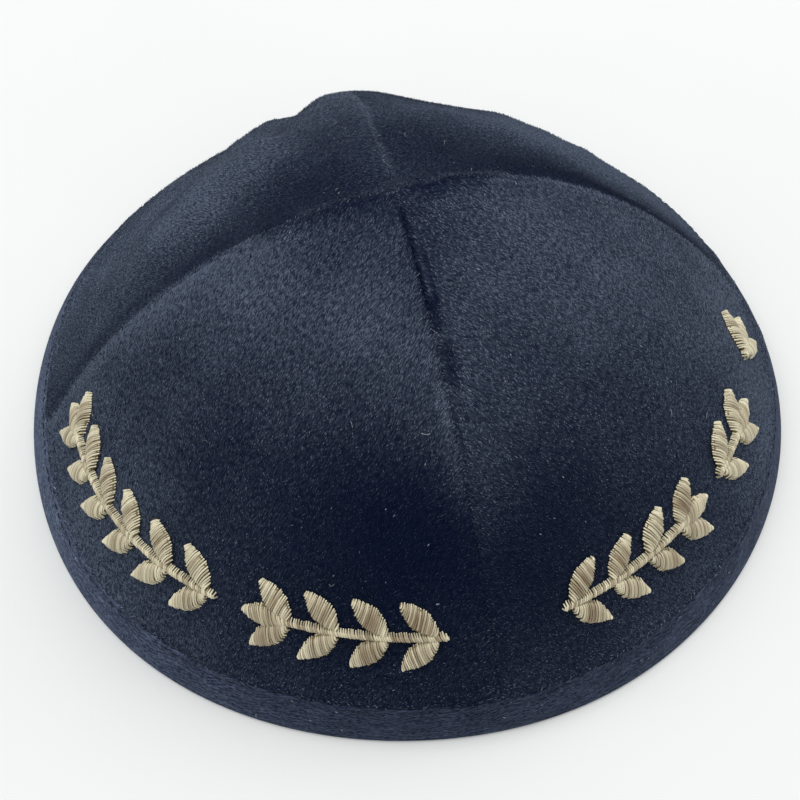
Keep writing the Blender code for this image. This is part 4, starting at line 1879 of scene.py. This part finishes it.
@dataclass
class Studio:
    """A pale floor under soft light, and a camera before and above the cap."""

    azimuth: float = radians(-12.5)
    elevation: float = radians(56.42)
    distance: float = 0.2700
    aside: float = -0.001445
    above: float = -0.006248
    lens: float = 49.57
    sky: float = 0.60

    def make_camera(self) -> None:
        """The camera, aimed past the middle of the rim."""
        right = Vector((cos(self.azimuth), sin(self.azimuth), 0.0))
        back = Vector((sin(self.azimuth) * cos(self.elevation),
                       -cos(self.azimuth) * cos(self.elevation), sin(self.elevation)))
        up = back.cross(right)
        place = back * self.distance + right * self.aside + up * self.above
        data = bpy.data.cameras.new("camera")
        data.lens = self.lens
        data.sensor_width = 36.0
        data.clip_start = 0.01
        camera = bpy.data.objects.new("camera", data)
        turn = Matrix((right, up, back)).transposed().to_4x4()
        camera.matrix_world = Matrix.Translation(place) @ turn
        bpy.context.scene.collection.objects.link(camera)
        bpy.context.scene.camera = camera

    def make_light(self, name: str, place: Colour, size: float, power: float) -> None:
        """A square light that faces the cap.

        Args:
            name: the light's name.
            place: where its middle is.
            size: the length of its side.
            power: its power in watts.
        """
        data = bpy.data.lights.new(name, "AREA")
        data.shape = "SQUARE"
        data.size = size
        data.energy = power
        light = bpy.data.objects.new(name, data)
        light.location = place
        light.rotation_euler = (-Vector(place)).to_track_quat("-Z", "Y").to_euler()
        bpy.context.scene.collection.objects.link(light)

    def make(self) -> None:
        """The floor, the light of the room and the camera."""
        scene = bpy.context.scene
        scene.view_settings.view_transform = "Standard"
        world = bpy.data.worlds.new("room")
        world.use_nodes = True
        world.node_tree.nodes["Background"].inputs[0].default_value = (0.97, 0.985, 1.0, 1.0)
        world.node_tree.nodes["Background"].inputs[1].default_value = self.sky
        scene.world = world
        self.make_light("window", (0.85, 0.45, 1.05), 0.9, 5.0)
        self.make_light("ceiling", (-0.35, 0.05, 1.25), 1.3, 9.0)
        mesh = bmesh.new()
        bmesh.ops.create_grid(mesh, x_segments=1, y_segments=1, size=3.0)
        data = bpy.data.meshes.new("floor")
        mesh.to_mesh(data)
        mesh.free()
        data.materials.append(FloorFinish().make())
        floor = bpy.data.objects.new("floor", data)
        scene.collection.objects.link(floor)
        self.make_camera()


def main() -> None:
    """Dress the cap, from its sprigs to the room that it stands in."""
    logging.basicConfig(level=logging.INFO, format="%(name)s: %(message)s")
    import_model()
    form = CrownForm()
    threads = ThreadTree()
    gold = ThreadFinish("gold_thread", (0.20, 0.135, 0.068), (0.90, 0.84, 0.61)).make()
    padding = ThreadFinish("gold_padding", (0.16, 0.12, 0.06), (0.22, 0.17, 0.09), 0.7, 0.2).make()
    sprigs = StitchedSprigs(form)
    stitching = copied_together([sprigs.make(sprig, threads, gold, padding) for sprig in SPRIGS])

    gores = VelvetGores(form)
    pile = PileFinish().make()
    back = ClothBackFinish().make()
    tree = PileTree()
    for index in range(len(GORES)):
        gores.make(index, tree, pile, back, stitching)

    navy = ThreadFinish("navy_thread", (0.010, 0.015, 0.032), (0.040, 0.052, 0.088), 0.6, 0.2)
    RimBinding(form).make(TapeFinish().make(), navy.make(), pile, threads, tree, stitching)
    bpy.data.objects.remove(stitching)
    hair = ThreadFinish("pale_hair", (0.12, 0.15, 0.19), (0.46, 0.49, 0.52), 0.5, 0.3).make()
    StrayHairs(form).make(threads, hair)
    Studio().make()


if __name__ == "__main__":
    main()
